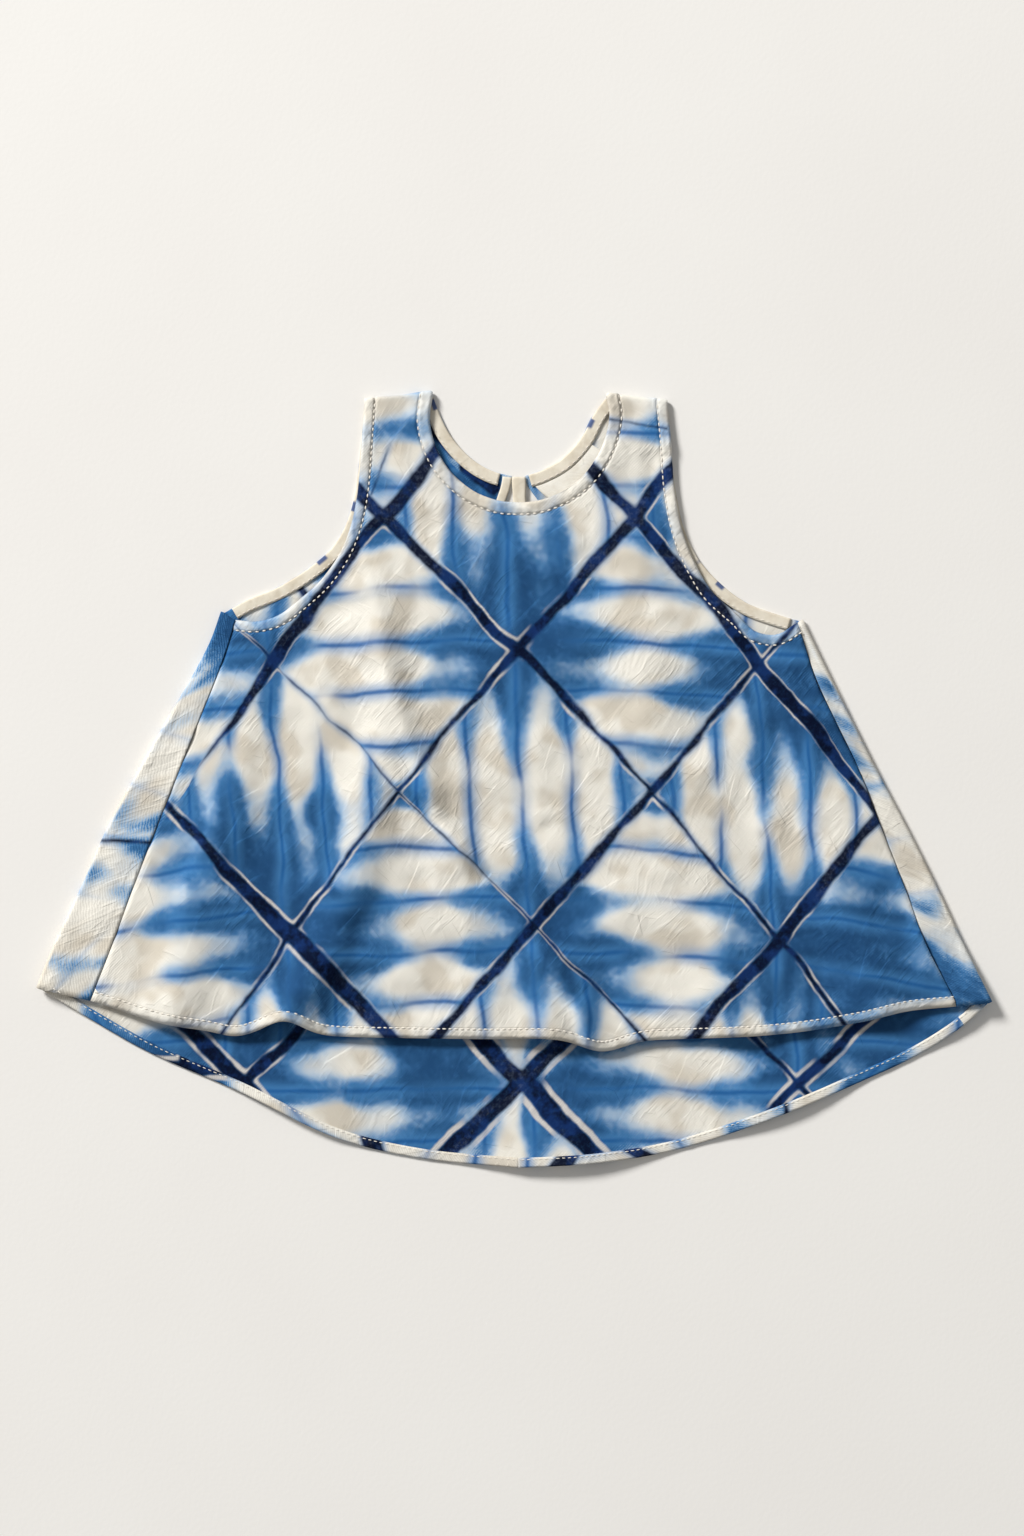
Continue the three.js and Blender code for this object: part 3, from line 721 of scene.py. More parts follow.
# Creases seen on the front, placed one by one
FRONT_CREASES = (
    Crease(-70, 104, -58, 10, 2.6, 10.0, 6.0),
    Crease(-64, 48, -33, -32, 4.4, 11.0, 4.2),
    Crease(-38, -22, -18, -52, 3.2, 8.0, 3.6),
    Crease(-68, 0, -37, -13, 2.4, 9.0, 4.4),
    Crease(-18, -52, 6, -82, 1.6, 7.0, 4.0),
    Crease(-30, -4, -50, -60, -1.4, 9.0),
    Crease(8, -84, 31, -113, 4.2, 8.0, 3.4),
    Crease(31, -108, 40, -140, 4.0, 8.0, 3.4),
    Crease(128, 47, 161, -38, -2.8, 8.0, 12.0),
    Crease(118, 20, 140, -60, 1.2, 8.0, 5.0),
    Crease(-150, -10, -176, -84, 1.6, 8.0, 4.0),
    Crease(-128, -60, -112, -124, -1.3, 8.0),
    Crease(-96, 60, -108, 0, 1.0, 9.0, 5.0),
    Crease(196, -30, 212, -96, 1.6, 7.0, 4.0),
    Crease(-72, 20, -40, -32, 1.4, 3.4),
    Crease(-36, -26, -22, -48, 1.6, 3.2),
    Crease(-34, -34, -62, -40, -0.9, 6.0),
    Crease(8, -84, 30, -112, 1.3, 3.2),
    Crease(30, -112, 38, -136, 1.5, 3.4),
    Crease(44, -96, 56, -132, -1.3, 5.5),
    Crease(-140, -118, -96, -104, 1.0, 4.5),
    Crease(-106, -112, -94, -128, -1.0, 5.0),
    Crease(126, 46, 146, 18, 1.0, 4.0),
    Crease(146, 18, 158, -38, 1.2, 4.4),
    Crease(128, 10, 146, -30, -1.0, 5.5),
    Crease(-96, 104, -66, 116, 0.7, 3.6),
    Crease(-104, 84, -60, 92, -0.7, 5.0),
    Crease(-92, 66, -52, 58, 0.6, 4.0),
    Crease(58, 120, 84, 104, 0.7, 4.0),
    Crease(64, 92, 104, 84, -0.6, 5.0),
    Crease(-60, 176, -48, 132, 0.6, 3.8),
    Crease(62, 182, 66, 138, 0.5, 3.6),
    Crease(-8, 132, -22, 104, 0.5, 4.2),
    Crease(18, 134, 30, 108, 0.5, 4.2),
    Crease(-30, -10, -20, 40, 0.6, 5.0),
    Crease(34, 10, 40, 54, -0.6, 5.5),
    Crease(84, -20, 104, 20, 0.6, 4.6),
    Crease(-150, -60, -120, -96, 0.8, 4.6),
    Crease(-180, -96, -150, -116, 0.7, 4.0),
    Crease(72, -70, 110, -92, 0.7, 4.4),
    Crease(-20, -66, 4, -96, -0.6, 5.0),
    Crease(150, -70, 196, -92, 0.7, 4.6),
    Crease(-128, 44, -112, 12, 0.7, 4.0),
    Crease(-10, 88, 30, 78, -0.4, 5.0),
)
# Creases of the back, on the parts that show and on its hidden outer face
BACK_CREASES = (
    Crease(-120, -138, -84, -168, 0.7, 4.0),
    Crease(-40, -150, -16, -186, 0.8, 4.4),
    Crease(24, -146, 48, -184, 0.8, 4.6),
    Crease(86, -142, 112, -172, 0.7, 4.2),
    Crease(150, -132, 168, -150, 0.6, 4.0),
    Crease(-90, -60, -40, -90, 0.6, 5.0),
    Crease(-120, 20, -70, -10, 0.6, 5.0),
    Crease(20, -40, 70, -64, 0.6, 5.0),
    Crease(60, 40, 110, 20, 0.6, 5.0),
    Crease(-60, 110, -30, 76, 0.5, 4.4),
    Crease(40, 120, 58, 84, 0.5, 4.4),
)
FRONT_PRESSES = pressed_creases(7, 190, (-215, -135, 225, 195))
BACK_PRESSES = pressed_creases(11, 130, (-235, -198, 235, 190))


class Lie:
    """How the cloth lies: the height of the middle of each layer above the surface."""

    def __init__(self) -> None:
        """Collect the edges that have a topstitched band."""
        share = np.linspace(0, 1, 120)
        sides = (Side.LEFT, Side.RIGHT)
        self.front_necks = [PATTERN.front_neck(s).at(share) for s in sides]
        self.front_armholes = [PATTERN.front_armhole(s).at(share) for s in sides]
        self.front_hems = [PATTERN.front_hem(s, share) for s in sides]
        self.back_hems = [PATTERN.back_hem(s, share) for s in sides]

    def back(self, x: Array, y: Array) -> Array:
        """Give the plain height of the lower layer.

        Args:
            x: places across the top.
            y: places along it.

        Returns:
            The height at each place.
        """
        height = np.full(np.shape(x), BACK_REST)
        for lift in BACK_LIFTS:
            part = np.hypot(x - lift.x, y - lift.y) / lift.reach
            height = height + lift.height * np.clip(1 - part * part, 0, None) ** 2
        return height

    def front(self, x: Array, y: Array) -> Array:
        """Give the plain height of the upper layer.

        Args:
            x: places across the top.
            y: places along it.

        Returns:
            The height at each place.
        """
        half_width = 245 + (y + 114) * (149 - 245) / (82 + 114)
        across = np.clip(1 - ((x - CENTRE_X) / half_width) ** 2, 0, 1)
        height = self.back(x, y) + LAYER_RISE + BELLY_RISE * across * (1 - smooth_step(y, 70, 140))
        for crest in FRONT_FOLDS.values():
            height = height + crest_height(crest, x, y)
        return height

    def front_bands(self, spots: Array) -> list[tuple[Band, Array]]:
        """Measure how far places lie from the topstitched edges.

        Args:
            spots: places in the plane.

        Returns:
            Each kind of band, with every place's distance from its edge.
        """
        kinds = (
            (self.front_necks, NECK_BAND),
            (self.front_armholes, ARMHOLE_BAND),
            (self.front_hems, HEM_BAND),
        )
        return [(band, np.min([distance_to(spots, line) for line in lines], axis=0)) for lines, band in kinds]

    def front_relief(self, x: Array, y: Array) -> Array:
        """Give what bands, creases and crumpling add to the upper layer.

        Args:
            x: places across the top.
            y: places along it.

        Returns:
            The added height at each place.
        """
        spots = np.stack([np.ravel(x), np.ravel(y)], axis=-1)
        shape = np.shape(x)
        bands = np.zeros(len(spots))
        for band, near in self.front_bands(spots):
            bands += band.relief(near, spots[:, 0] * 1.3 + spots[:, 1] * 0.9)
        calm = smooth_step(np.abs(bands), 0.5, 0.2)
        loose = crease_height(FRONT_CREASES + tuple(FRONT_PRESSES), x, y)
        loose = loose + 1.25 * crumple(x, y, 27.0, 3.0) + 0.42 * crumple(x, y, 12.0, 8.0)
        return bands.reshape(shape) + loose * (0.35 + 0.65 * calm.reshape(shape))

    def back_relief(self, x: Array, y: Array) -> Array:
        """Give what creases and crumpling add to the lower layer, never below it.

        Args:
            x: places across the top.
            y: places along it.

        Returns:
            The added height at each place.
        """
        loose = crease_height(BACK_CREASES + tuple(BACK_PRESSES), x, y)
        loose = loose + 0.25 * crumple(x, y, 26.0, 5.0) + 0.1 * crumple(x, y, 9.0, 2.0)
        return np.clip(loose, 0, 1.3)


LIE = Lie()


def panel_points(
    edges: tuple[RowLine, RowLine],
    hem: ShareLine,
    across: Array,
    row: Array,
    hem_share: Array,
) -> Array:
    """Give points of half a panel.

    Args:
        edges: the inner edge and the outer edge by row.
        hem: the hem edge as a function of the share across.
        across: from the inner edge to the outer one.
        row: the row numbers.
        hem_share: how much of the hem's bend reaches each row.

    Returns:
        The points in the plane.
    """
    inner, outer = edges
    point = inner.at(row) + (outer.at(row) - inner.at(row)) * across[:, None]
    first, last = inner.at(np.array(0.0)), outer.at(np.array(0.0))
    bend = hem(across) - (first + (last - first) * across[:, None])
    return point + bend * hem_share[:, None]


def underarm_sag(across: Array, row: Array) -> Array:
    """Let the front's rows hang below straight lines near the underarm.

    Args:
        across: from the middle to the edge.
        row: the row numbers.

    Returns:
        How far each place hangs.
    """
    near = across**8
    fade = np.where(row > SEAM_ROWS, 0.4 ** (row - SEAM_ROWS), 0.7 ** (SEAM_ROWS - row))
    return 4 * 4 * near * (1 - near) * fade


def left_of(ahead: Array) -> Array:
    """Return the directions that lie to the left of the given ones."""
    return np.stack([-ahead[:, 1], ahead[:, 0]], axis=-1)


def make_piece(name: str, bm: bmesh.types.BMesh, material: Material) -> Piece:
    """Turn a bmesh into an object of the scene.

    Args:
        name: the object's name.
        bm: its mesh, which is freed.
        material: its finish.

    Returns:
        The object.
    """
    for face in bm.faces:
        face.smooth = True
    mesh = bpy.data.meshes.new(name)
    bm.to_mesh(mesh)
    bm.free()
    mesh.materials.append(material)
    piece = bpy.data.objects.new(name, mesh)
    bpy.context.scene.collection.objects.link(piece)
    return piece


class ClothMesh:
    """A sheet of cloth as one bmesh, with its flat position stored at each corner."""

    def __init__(self, name: str) -> None:
        """Start an empty sheet.

        Args:
            name: the piece's name.
        """
        self.name = name
        self.bm = bmesh.new()
        self.u = self.bm.verts.layers.float.new("flat_u")
        self.v = self.bm.verts.layers.float.new("flat_v")
        self.strip = self.bm.verts.layers.float.new("strip")
        self.band = self.bm.verts.layers.float.new("band")

    def grid(self, columns: int, rows: int) -> tuple[list[bmesh.types.BMVert], Array]:
        """Add a flat grid.

        Args:
            columns: its steps across.
            rows: its steps along.

        Returns:
            The new corners, and for each its place across and along from 0 to 1.
        """
        made = bmesh.ops.create_grid(self.bm, x_segments=columns, y_segments=rows, size=0.5)["verts"]
        places = np.array([(v.co.x + 0.5, v.co.y + 0.5) for v in made])
        return made, places

    def split_above(self, verts: Sequence[bmesh.types.BMVert], level: float) -> None:
        """Cut the grid open along its middle column, from a level up.

        Args:
            verts: the grid's corners.
            level: the share of the grid's length where the cut starts.
        """
        on_line = {v for v in verts if abs(v.co.x) < 1e-5 and v.co.y + 0.5 > level - 1e-5}
        edges = {e for v in on_line for e in v.link_edges if set(e.verts) <= on_line}
        bmesh.ops.split_edges(self.bm, edges=list(edges))

    def place(self, verts: Sequence[bmesh.types.BMVert], points: Array, flat: Array) -> None:
        """Move corners to their places.

        Args:
            verts: the corners.
            points: their places in the pattern's millimetres.
            flat: where they lie on the flat cloth.
        """
        for vert, point, spot in zip(verts, points, flat):
            vert.co = (
                (point[0] + CENTRING[0]) * METRE,
                (point[1] + CENTRING[1]) * METRE,
                point[2] * METRE,
            )
            vert[self.u], vert[self.v] = spot[0] * METRE, spot[1] * METRE

    def finish(self, thickness: float, material: Material) -> Piece:
        """Make the piece.

        Args:
            thickness: of the cloth.
            material: its finish.

        Returns:
            The finished object.
        """
        uv = self.bm.loops.layers.uv.new("cloth")
        for face in self.bm.faces:
            for loop in face.loops:
                loop[uv].uv = (loop.vert[self.u], loop.vert[self.v])
        piece = make_piece(self.name, self.bm, material)
        wall = piece.modifiers.new("wall", "SOLIDIFY")
        wall.thickness = thickness * METRE
        wall.offset = 0.0
        return piece


class Graph:
    """A short way to write a node tree."""

    def __init__(self, tree: NodeTree) -> None:
        """Keep the tree.

        Args:
            tree: the tree that nodes are added to.
        """
        self.tree = tree

    def put(self, socket: Socket, value: object) -> None:
        """Link a socket, or set its value.

        Args:
            socket: the input.
            value: another node's output, or a constant, or None to leave it as it is.
        """
        if isinstance(value, Socket):
            self.tree.links.new(value, socket)
        elif value is not None:
            socket.default_value = value

    def node(self, kind: str, inputs: dict | None = None, **settings: object) -> bpy.types.Node:
        """Add a node.

        Args:
            kind: its type.
            inputs: values or links by the input's name or number.
            settings: its properties.

        Returns:
            The node.
        """
        made = self.tree.nodes.new(kind)
        for key, value in settings.items():
            setattr(made, key, value)
        for key, value in (inputs or {}).items():
            self.put(made.inputs[key], value)
        return made

    def math(self, operation: str, *values: object, clamp: bool = False) -> Socket:
        """Add a Math node.

        Args:
            operation: what it does.
            values: its inputs in order.
            clamp: whether the result is kept between 0 and 1.

        Returns:
            The result.
        """
        made = self.node("ShaderNodeMath", operation=operation, use_clamp=clamp)
        for socket, value in zip(made.inputs, values):
            self.put(socket, value)
        return made.outputs[0]

    def plus(self, a: object, b: object) -> Socket:
        """Return a sum."""
        return self.math("ADD", a, b)

    def minus(self, a: object, b: object) -> Socket:
        """Return a difference."""
        return self.math("SUBTRACT", a, b)

    def times(self, a: object, b: object) -> Socket:
        """Return a product."""
        return self.math("MULTIPLY", a, b)

    def scale_add(self, value: object, factor: object, base: object) -> Socket:
        """Return a value times a factor, plus a base."""
        return self.math("MULTIPLY_ADD", value, factor, base)

    def vector(self, operation: str, *values: object) -> Socket:
        """Add a Vector Math node.

        Args:
            operation: what it does.
            values: its inputs in order.

        Returns:
            The result, a number for a distance or a dot product and else a vector.
        """
        made = self.node("ShaderNodeVectorMath", operation=operation)
        for socket, value in zip(made.inputs, values):
            self.put(socket, value)
        return made.outputs["Value" if operation in ("DISTANCE", "DOT_PRODUCT") else "Vector"]

    def scaled(self, vector: Socket, factor: object) -> Socket:
        """Return a vector times a number."""
        made = self.node("ShaderNodeVectorMath", {"Vector": vector, "Scale": factor}, operation="SCALE")
        return made.outputs["Vector"]

    def range(self, value: object, low: float, high: float) -> Socket:
        """Return a smooth rise from 0 where a value is low to 1 where it is high."""
        made = self.node("ShaderNodeMapRange", {0: value, 1: low, 2: high}, interpolation_type="SMOOTHSTEP")
        return made.outputs[0]

    def noise(
        self, vector: object, scale: float, detail: float = 1.0, rough: float = 0.5, colour: bool = False
    ) -> Socket:
        """Add noise over a place on a sheet.

        Args:
            vector: the place.
            scale: how fine it is.
            detail: how many finer layers it has.
            rough: how strong those are.
            colour: whether to give three numbers and not one.

        Returns:
            The noise, from 0 to 1.
        """
        made = self.node(
            "ShaderNodeTexNoise",
            {"Vector": vector, "Scale": scale, "Detail": detail, "Roughness": rough},
            noise_dimensions="2D",
        )
        return made.outputs["Color" if colour else 0]

    def shift(self, place: object, scale: float, detail: float, rough: float, reach: float) -> Socket:
        """Return a small vector that wanders from place to place."""
        noise = self.noise(place, scale, detail, rough, colour=True)
        return self.scaled(self.vector("SUBTRACT", noise, (0.5, 0.5, 0.5)), reach)

    def cloud(self, place: object, scale: float, detail: float, swing: float, base: float) -> Socket:
        """Return noise that swings up from a base."""
        return self.scale_add(self.noise(place, scale, detail), swing, base)

    def parts(self, vector: object) -> tuple[Socket, Socket]:
        """Return a vector's first two parts."""
        made = self.node("ShaderNodeSeparateXYZ", {0: vector})
        return made.outputs[0], made.outputs[1]

    def turned(self, vector: object, angle: object) -> Socket:
        """Return a vector turned about the upright axis."""
        inputs = {"Vector": vector, "Angle": angle}
        return self.node("ShaderNodeVectorRotate", inputs, rotation_type="Z_AXIS").outputs[0]

    def group(self, tree: NodeTree, *values: object) -> bpy.types.NodeOutputs:
        """Return the outputs of a node group that is given its inputs in order."""
        return self.node("ShaderNodeGroup", dict(enumerate(values)), node_tree=tree).outputs

    def shaded(self, colour: object, grey: object) -> Socket:
        """Return a colour times a shade of grey."""
        lit = self.node("ShaderNodeCombineColor", {0: grey, 1: grey, 2: grey}).outputs[0]
        return self.mix(1.0, colour, lit, "MULTIPLY")

    def mix(self, factor: object, a: object, b: object, blend: str = "MIX") -> Socket:
        """Mix two colours.

        Args:
            factor: the share of the second one.
            a: the first colour.
            b: the second colour.
            blend: how they mix.

        Returns:
            The mix.
        """
        made = self.node("ShaderNodeMix", data_type="RGBA", blend_type=blend)
        self.put(made.inputs[0], factor)
        self.put(made.inputs[6], a)
        self.put(made.inputs[7], b)
        return made.outputs[2]

    def ramp(self, value: object, stops: Sequence[tuple[float, tuple[float, ...]]]) -> Socket:
        """Look a colour up on a ramp.

        Args:
            value: the place on the ramp.
            stops: the ramp's places and colours.

        Returns:
            The colour.
        """
        made = self.node("ShaderNodeValToRGB", {0: value})
        band = made.color_ramp
        band.interpolation = "EASE"
        while len(band.elements) < len(stops):
            band.elements.new(0.5)
        for element, (place, colour) in zip(band.elements, stops):
            element.position, element.color = place, colour
        return made.outputs["Color"]


def node_group(
    name: str, inputs: Sequence[tuple], outputs: Sequence[tuple]
) -> tuple[NodeTree, Graph, dict, bpy.types.Node]:
    """Start a shader node group.

    Args:
        name: the group's name.
        inputs: name, socket type and default of each input.
        outputs: name and socket type of each output.

    Returns:
        The group, its graph, its inputs by name, and its output node.
    """
    tree = bpy.data.node_groups.new(name, "ShaderNodeTree")
    for label, kind, default in inputs:
        socket = tree.interface.new_socket(label, in_out="INPUT", socket_type=kind)
        if default is not None:
            socket.default_value = default
    for label, kind in outputs:
        tree.interface.new_socket(label, in_out="OUTPUT", socket_type=kind)
    graph = Graph(tree)
    source = graph.node("NodeGroupInput")
    sink = graph.node("NodeGroupOutput")
    return tree, graph, {s.name: s for s in source.outputs if s.name}, sink


FLOAT, VECTOR = "NodeSocketFloat", "NodeSocketVector"


def srgb(code: str) -> tuple[float, float, float, float]:
    """Turn a six-digit colour code into a linear colour.

    Args:
        code: red, green and blue as two hexadecimal digits each.

    Returns:
        The colour, with an opacity of 1.
    """
    parts = [int(code[i : i + 2], 16) / 255 for i in (0, 2, 4)]
    line = [c / 12.92 if c <= 0.04045 else ((c + 0.055) / 1.055) ** 2.4 for c in parts]
    return (*line, 1.0)


def new_material(name: str) -> tuple[Material, Graph]:
    """Start a material.

    Args:
        name: its name.

    Returns:
        The material and its graph.
    """
    material = bpy.data.materials.new(name)
    material.use_nodes = True
    return material, Graph(material.node_tree)


class Gloss(NamedTuple):
    """How a surface shines, and how strongly its relief shows."""

    roughness: float
    specular: float
    sheen: float
    bump: float
    depth: float

    def dress(self, g: Graph, colour: Socket, relief: Socket) -> None:
        """Set a material's shader.

        Args:
            g: the material's graph.
            colour: its colour.
            relief: the height of its surface.
        """
        inputs = g.tree.nodes["Principled BSDF"].inputs
        inputs["Roughness"].default_value = self.roughness
        inputs["Specular IOR Level"].default_value = self.specular
        inputs["Sheen Weight"].default_value = self.sheen
        bump = g.node("ShaderNodeBump", {"Strength": self.bump, "Distance": self.depth, "Height": relief})
        g.put(inputs["Base Color"], colour)
        g.put(inputs["Normal"], bump.outputs[0])


DYED_GLOSS = Gloss(roughness=0.9, specular=0.07, sheen=0.0, bump=1.0, depth=0.001)
PLAIN_GLOSS = Gloss(roughness=0.88, specular=0.18, sheen=0.03, bump=0.8, depth=0.0008)
THREAD_GLOSS = Gloss(roughness=0.6, specular=0.5, sheen=0.15, bump=0.5, depth=0.0001)
FLOOR_GLOSS = Gloss(roughness=0.95, specular=0.1, sheen=0.0, bump=0.12, depth=0.0004)


class Direction(Enum):
    """The way that a dye line runs down the cloth."""

    RIGHTWARD = "rightward"
    LEFTWARD = "leftward"


RIGHTWARD, LEFTWARD = Direction


class DyeLine(NamedTuple):
    """A fold line of the dye: half widths at four crossings in a row, and how strong its pale rim is."""

    way: Direction
    index: int
    first: int
    width_a: float
    width_b: float
    width_c: float
    width_d: float
    rim: float


class DyePool(NamedTuple):
    """A pool of mid blue round a place."""

    x: float
    y: float
    reach: float


class DyeStreak(NamedTuple):
    """A thin line of dye from one place to another."""

    x: float
    y: float
    to_x: float
    to_y: float
    width: float


@dataclass(frozen=True)
class Lattice:
    """The folded diamond lattice of a panel's dye, in millimetres on the flat cloth."""

    x: float
    y: float
    half_x: float
    half_y: float
    drop: float
    squeeze: float
    shear: float
    vein_step: float
    vein_x: float
    vein_y: float
    lines: tuple[DyeLine, ...]
    pools: tuple[DyePool, ...]
    streaks: tuple[DyeStreak, ...]

    @property
    def line_step(self) -> float:
        """Return the distance between neighbouring lines of one direction."""
        return 2 / math.hypot(1 / self.half_x, 1 / self.half_y)


FRONT_LATTICE = Lattice(
    x=1.5,
    y=65.8,
    half_x=66.3,
    half_y=69.9,
    drop=0.00042,
    squeeze=0.00055,
    shear=0.062,
    vein_step=26.5,
    vein_x=-2.5,
    vein_y=-6.0,
    lines=(
        DyeLine(RIGHTWARD, -2, -1, 1.9, 4.5, 3.4, 3.0, 1.0),
        DyeLine(RIGHTWARD, -1, -1, 0.2, 0.3, 0.35, 1.2, 0.4),
        DyeLine(RIGHTWARD, 0, -1, 3.3, 2.6, 0.9, 1.3, 0.9),
        DyeLine(RIGHTWARD, 1, 0, 3.4, 4.2, 3.4, 3.0, 0.5),
        DyeLine(LEFTWARD, -1, 0, 3.2, 3.8, -1.6, -3.0, 0.2),
        DyeLine(LEFTWARD, 0, -1, 3.4, 1.9, 0.9, 1.0, 0.9),
        DyeLine(LEFTWARD, 1, -1, 1.0, 2.0, 2.7, 2.4, 0.6),
        DyeLine(LEFTWARD, 2, -1, 3.0, 3.5, 2.8, 2.6, 0.5),
    ),
    pools=(
        DyePool(1.5, 74, 40), DyePool(4, 104, 26), DyePool(-140, 62, 20), DyePool(-128, 84, 14),
        DyePool(126, 64, 32), DyePool(152, 34, 34), DyePool(70, -5, 8), DyePool(-57, -4, 0),
        DyePool(-150, -68, 20), DyePool(-128, -46, 32), DyePool(-106, -80, 40), DyePool(-152, -28, 20),
        DyePool(-100, -20, 8), DyePool(14, -74, 30), DyePool(36, -96, 22), DyePool(140, -84, 32),
        DyePool(174, -96, 40), DyePool(-180, -18, 12), DyePool(-66, 130, 3), DyePool(74, 126, 6),
        DyePool(96, 36, 4), DyePool(-44, 188, 8), DyePool(-80, 160, 4), DyePool(74, 186, 0),
    ),
    streaks=(DyeStreak(-62, 172, -78, 132, 0.2), DyeStreak(46, 184, 78, 178, 0.3)),
)
BACK_LATTICE = Lattice(
    x=3.6,
    y=-154.0,
    half_x=70.6,
    half_y=69.9,
    drop=0.0001,
    squeeze=0.0,
    shear=0.0,
    vein_step=26.5,
    vein_x=8.0,
    vein_y=4.0,
    lines=(
        DyeLine(RIGHTWARD, -1, -2, 3.4, 3.4, 3.4, 3.0, 1.4),
        DyeLine(RIGHTWARD, 0, -2, 3.0, 3.4, 4.8, 4.4, 2.0),
        DyeLine(RIGHTWARD, 1, 0, 2.0, 1.0, 1.2, 1.2, 0.8),
        DyeLine(LEFTWARD, -1, -1, 2.6, 2.6, 2.6, 2.6, 0.6),
        DyeLine(LEFTWARD, 0, -2, 3.0, 3.0, 4.6, 4.4, 2.0),
        DyeLine(LEFTWARD, 1, -2, 3.0, 2.4, 3.0, 3.0, 1.4),
        DyeLine(LEFTWARD, -3, 1, 3.6, 3.6, 3.6, 3.6, 0.4),
    ),
    pools=(
        DyePool(-36, -152, 32), DyePool(34, -160, 26), DyePool(-138, -140, 36), DyePool(143, -147, 36),
        DyePool(196, -132, 40), DyePool(-24, 146, 22), DyePool(-120, 90, -6), DyePool(-100, 124, 12),
        DyePool(-160, 76, 24), DyePool(-240, -28, 8), DyePool(262, -96, 24), DyePool(205, 20, 12),
        DyePool(0, 30, 34), DyePool(-90, -30, 28), DyePool(100, -20, 28),
    ),
    streaks=(
        DyeStreak(-246, -25.0, -212, -33.4, 0.8),
        DyeStreak(-42, 178, -31, 166, 2.4),
        DyeStreak(-25, 159, -9, 149, 3.2),
    ),
)


class DyeGroups:
    """The node groups of the dye: a line's edge and a panel's whole dye, in millimetres."""

    wander = 6.0  # how far the lattice sways
    wander_scale = 34.0
    fray = 0.9  # how far its lines fray
    fray_scale = 7.0
    rim_width = 1.4
    join = 2.6  # how softly crossing lines run together
    strip_clear = 60.0  # keeps the lines off the side strips
    strip_veins = 4.0  # thins the veins there
    vein_reach = 12.5  # how far fingers of dye spread from a vein
    vein_depth, vein_base = 20.0, -5.5
    bare, full = -25.0, 24.0  # depths where the cloth took no dye, and all of it

    def __init__(self) -> None:
        """Build the group that every line uses."""
        self.line_edge = self._line_edge()

    @staticmethod
    def _line_edge() -> NodeTree:
        """Build the group that measures how far a place is outside one dye line.

        Returns:
            The group.
        """
        widths = ["Width A", "Width B", "Width C", "Width D"]
        labels = ["Across", "Along", "Index", "First", *widths, "Step", "Rim"]
        tree, g, source, sink = node_group(
            "dye line",
            [(label, FLOAT, 0.0) for label in labels],
            [("Outside", FLOAT), ("Outside Rim", FLOAT)],
        )
        offset = g.math("ABSOLUTE", g.minus(source["Across"], source["Index"]))
        offset = g.times(offset, source["Step"])
        along = g.minus(source["Along"], source["First"])
        width = source[widths[0]]
        for i, (low, high) in enumerate(zip(widths[:-1], widths[1:])):
            share = g.math("SUBTRACT", along, float(i), clamp=True)
            change = g.minus(source[high], source[low])
            width = g.scale_add(change, share, width)
        outside = g.minus(offset, width)
        rim = g.scale_add(source["Rim"], -DyeGroups.rim_width, outside)
        g.put(sink.inputs[0], outside)
        g.put(sink.inputs[1], rim)
        return tree

    def panel(self, name: str, lattice: Lattice) -> NodeTree:
        """Build a panel's dye.

        Args:
            name: the group's name.
            lattice: where its lines and pools lie.

        Returns:
            A group from a place on the cloth to the dye's depth and its lines.
        """
        tree, g, source, sink = node_group(
            name,
            [("Place", VECTOR, None), ("Strip", FLOAT, 0.0)],
            [("Dye", FLOAT), ("Line", FLOAT), ("Bleed", FLOAT), ("Rim", FLOAT), ("Vein", FLOAT)],
        )
        place = g.scaled(source["Place"], 1000.0)
        wander = g.shift(g.scaled(place, 1 / self.wander_scale), 1.0, 1.0, 0.4, self.wander)
        fray = g.shift(g.scaled(place, 1 / self.fray_scale), 1.0, 2.0, 0.6, self.fray)
        bent = g.vector("ADD", g.vector("ADD", place, wander), fray)
        x, y = g.parts(g.vector("SUBTRACT", bent, (lattice.x, lattice.y, 0.0)))
        square = g.times(x, x)
        down = g.times(g.scale_add(square, lattice.drop, y), -1.0)
        level = g.scale_add(down, -lattice.shear, x)
        spread = g.scale_add(g.math("ABSOLUTE", level), lattice.squeeze, 1.0)
        over = g.times(level, spread)
        column = g.math("DIVIDE", over, lattice.half_x)
        row = g.math("DIVIDE", down, lattice.half_y)
        a = g.times(g.plus(column, row), 0.5)
        b = g.times(g.minus(column, row), 0.5)
        outside, outside_rim = self._lines(g, lattice, a, b)
        outside = g.scale_add(source["Strip"], self.strip_clear, outside)
        outside_rim = g.scale_add(source["Strip"], self.strip_clear, outside_rim)
        outside = g.plus(outside, g.cloud(place, 0.06, 1.5, 2.0, -0.85))
        outside = g.math("MINIMUM", outside, self._streaks(g, lattice, bent))
        pools = self._pools(g, lattice, bent)
        vein = self._veins(g, lattice, a, b, over, down)
        vein = g.scale_add(source["Strip"], self.strip_veins, vein)
        fingers = g.scale_add(g.range(vein, self.vein_reach, 0.0), self.vein_depth, self.vein_base)
        depth = g.plus(g.plus(pools, fingers), g.cloud(place, 0.03, 1.0, 30.0, -15.0))
        strip_depth = g.math("MAXIMUM", g.cloud(place, 0.035, 1.0, 90.0, -57.0), depth)
        depth = g.scale_add(g.minus(strip_depth, depth), source["Strip"], depth)
        g.put(sink.inputs["Dye"], g.range(depth, self.bare, self.full))
        g.put(sink.inputs["Line"], g.range(outside, 1.2, -0.9))
        g.put(sink.inputs["Bleed"], g.range(outside, 5.0, -0.5))
        rim = g.times(g.range(outside_rim, 0.8, -0.6), g.range(outside, -0.3, 0.9))
        g.put(sink.inputs["Rim"], rim)
        g.put(sink.inputs["Vein"], vein)
        return tree

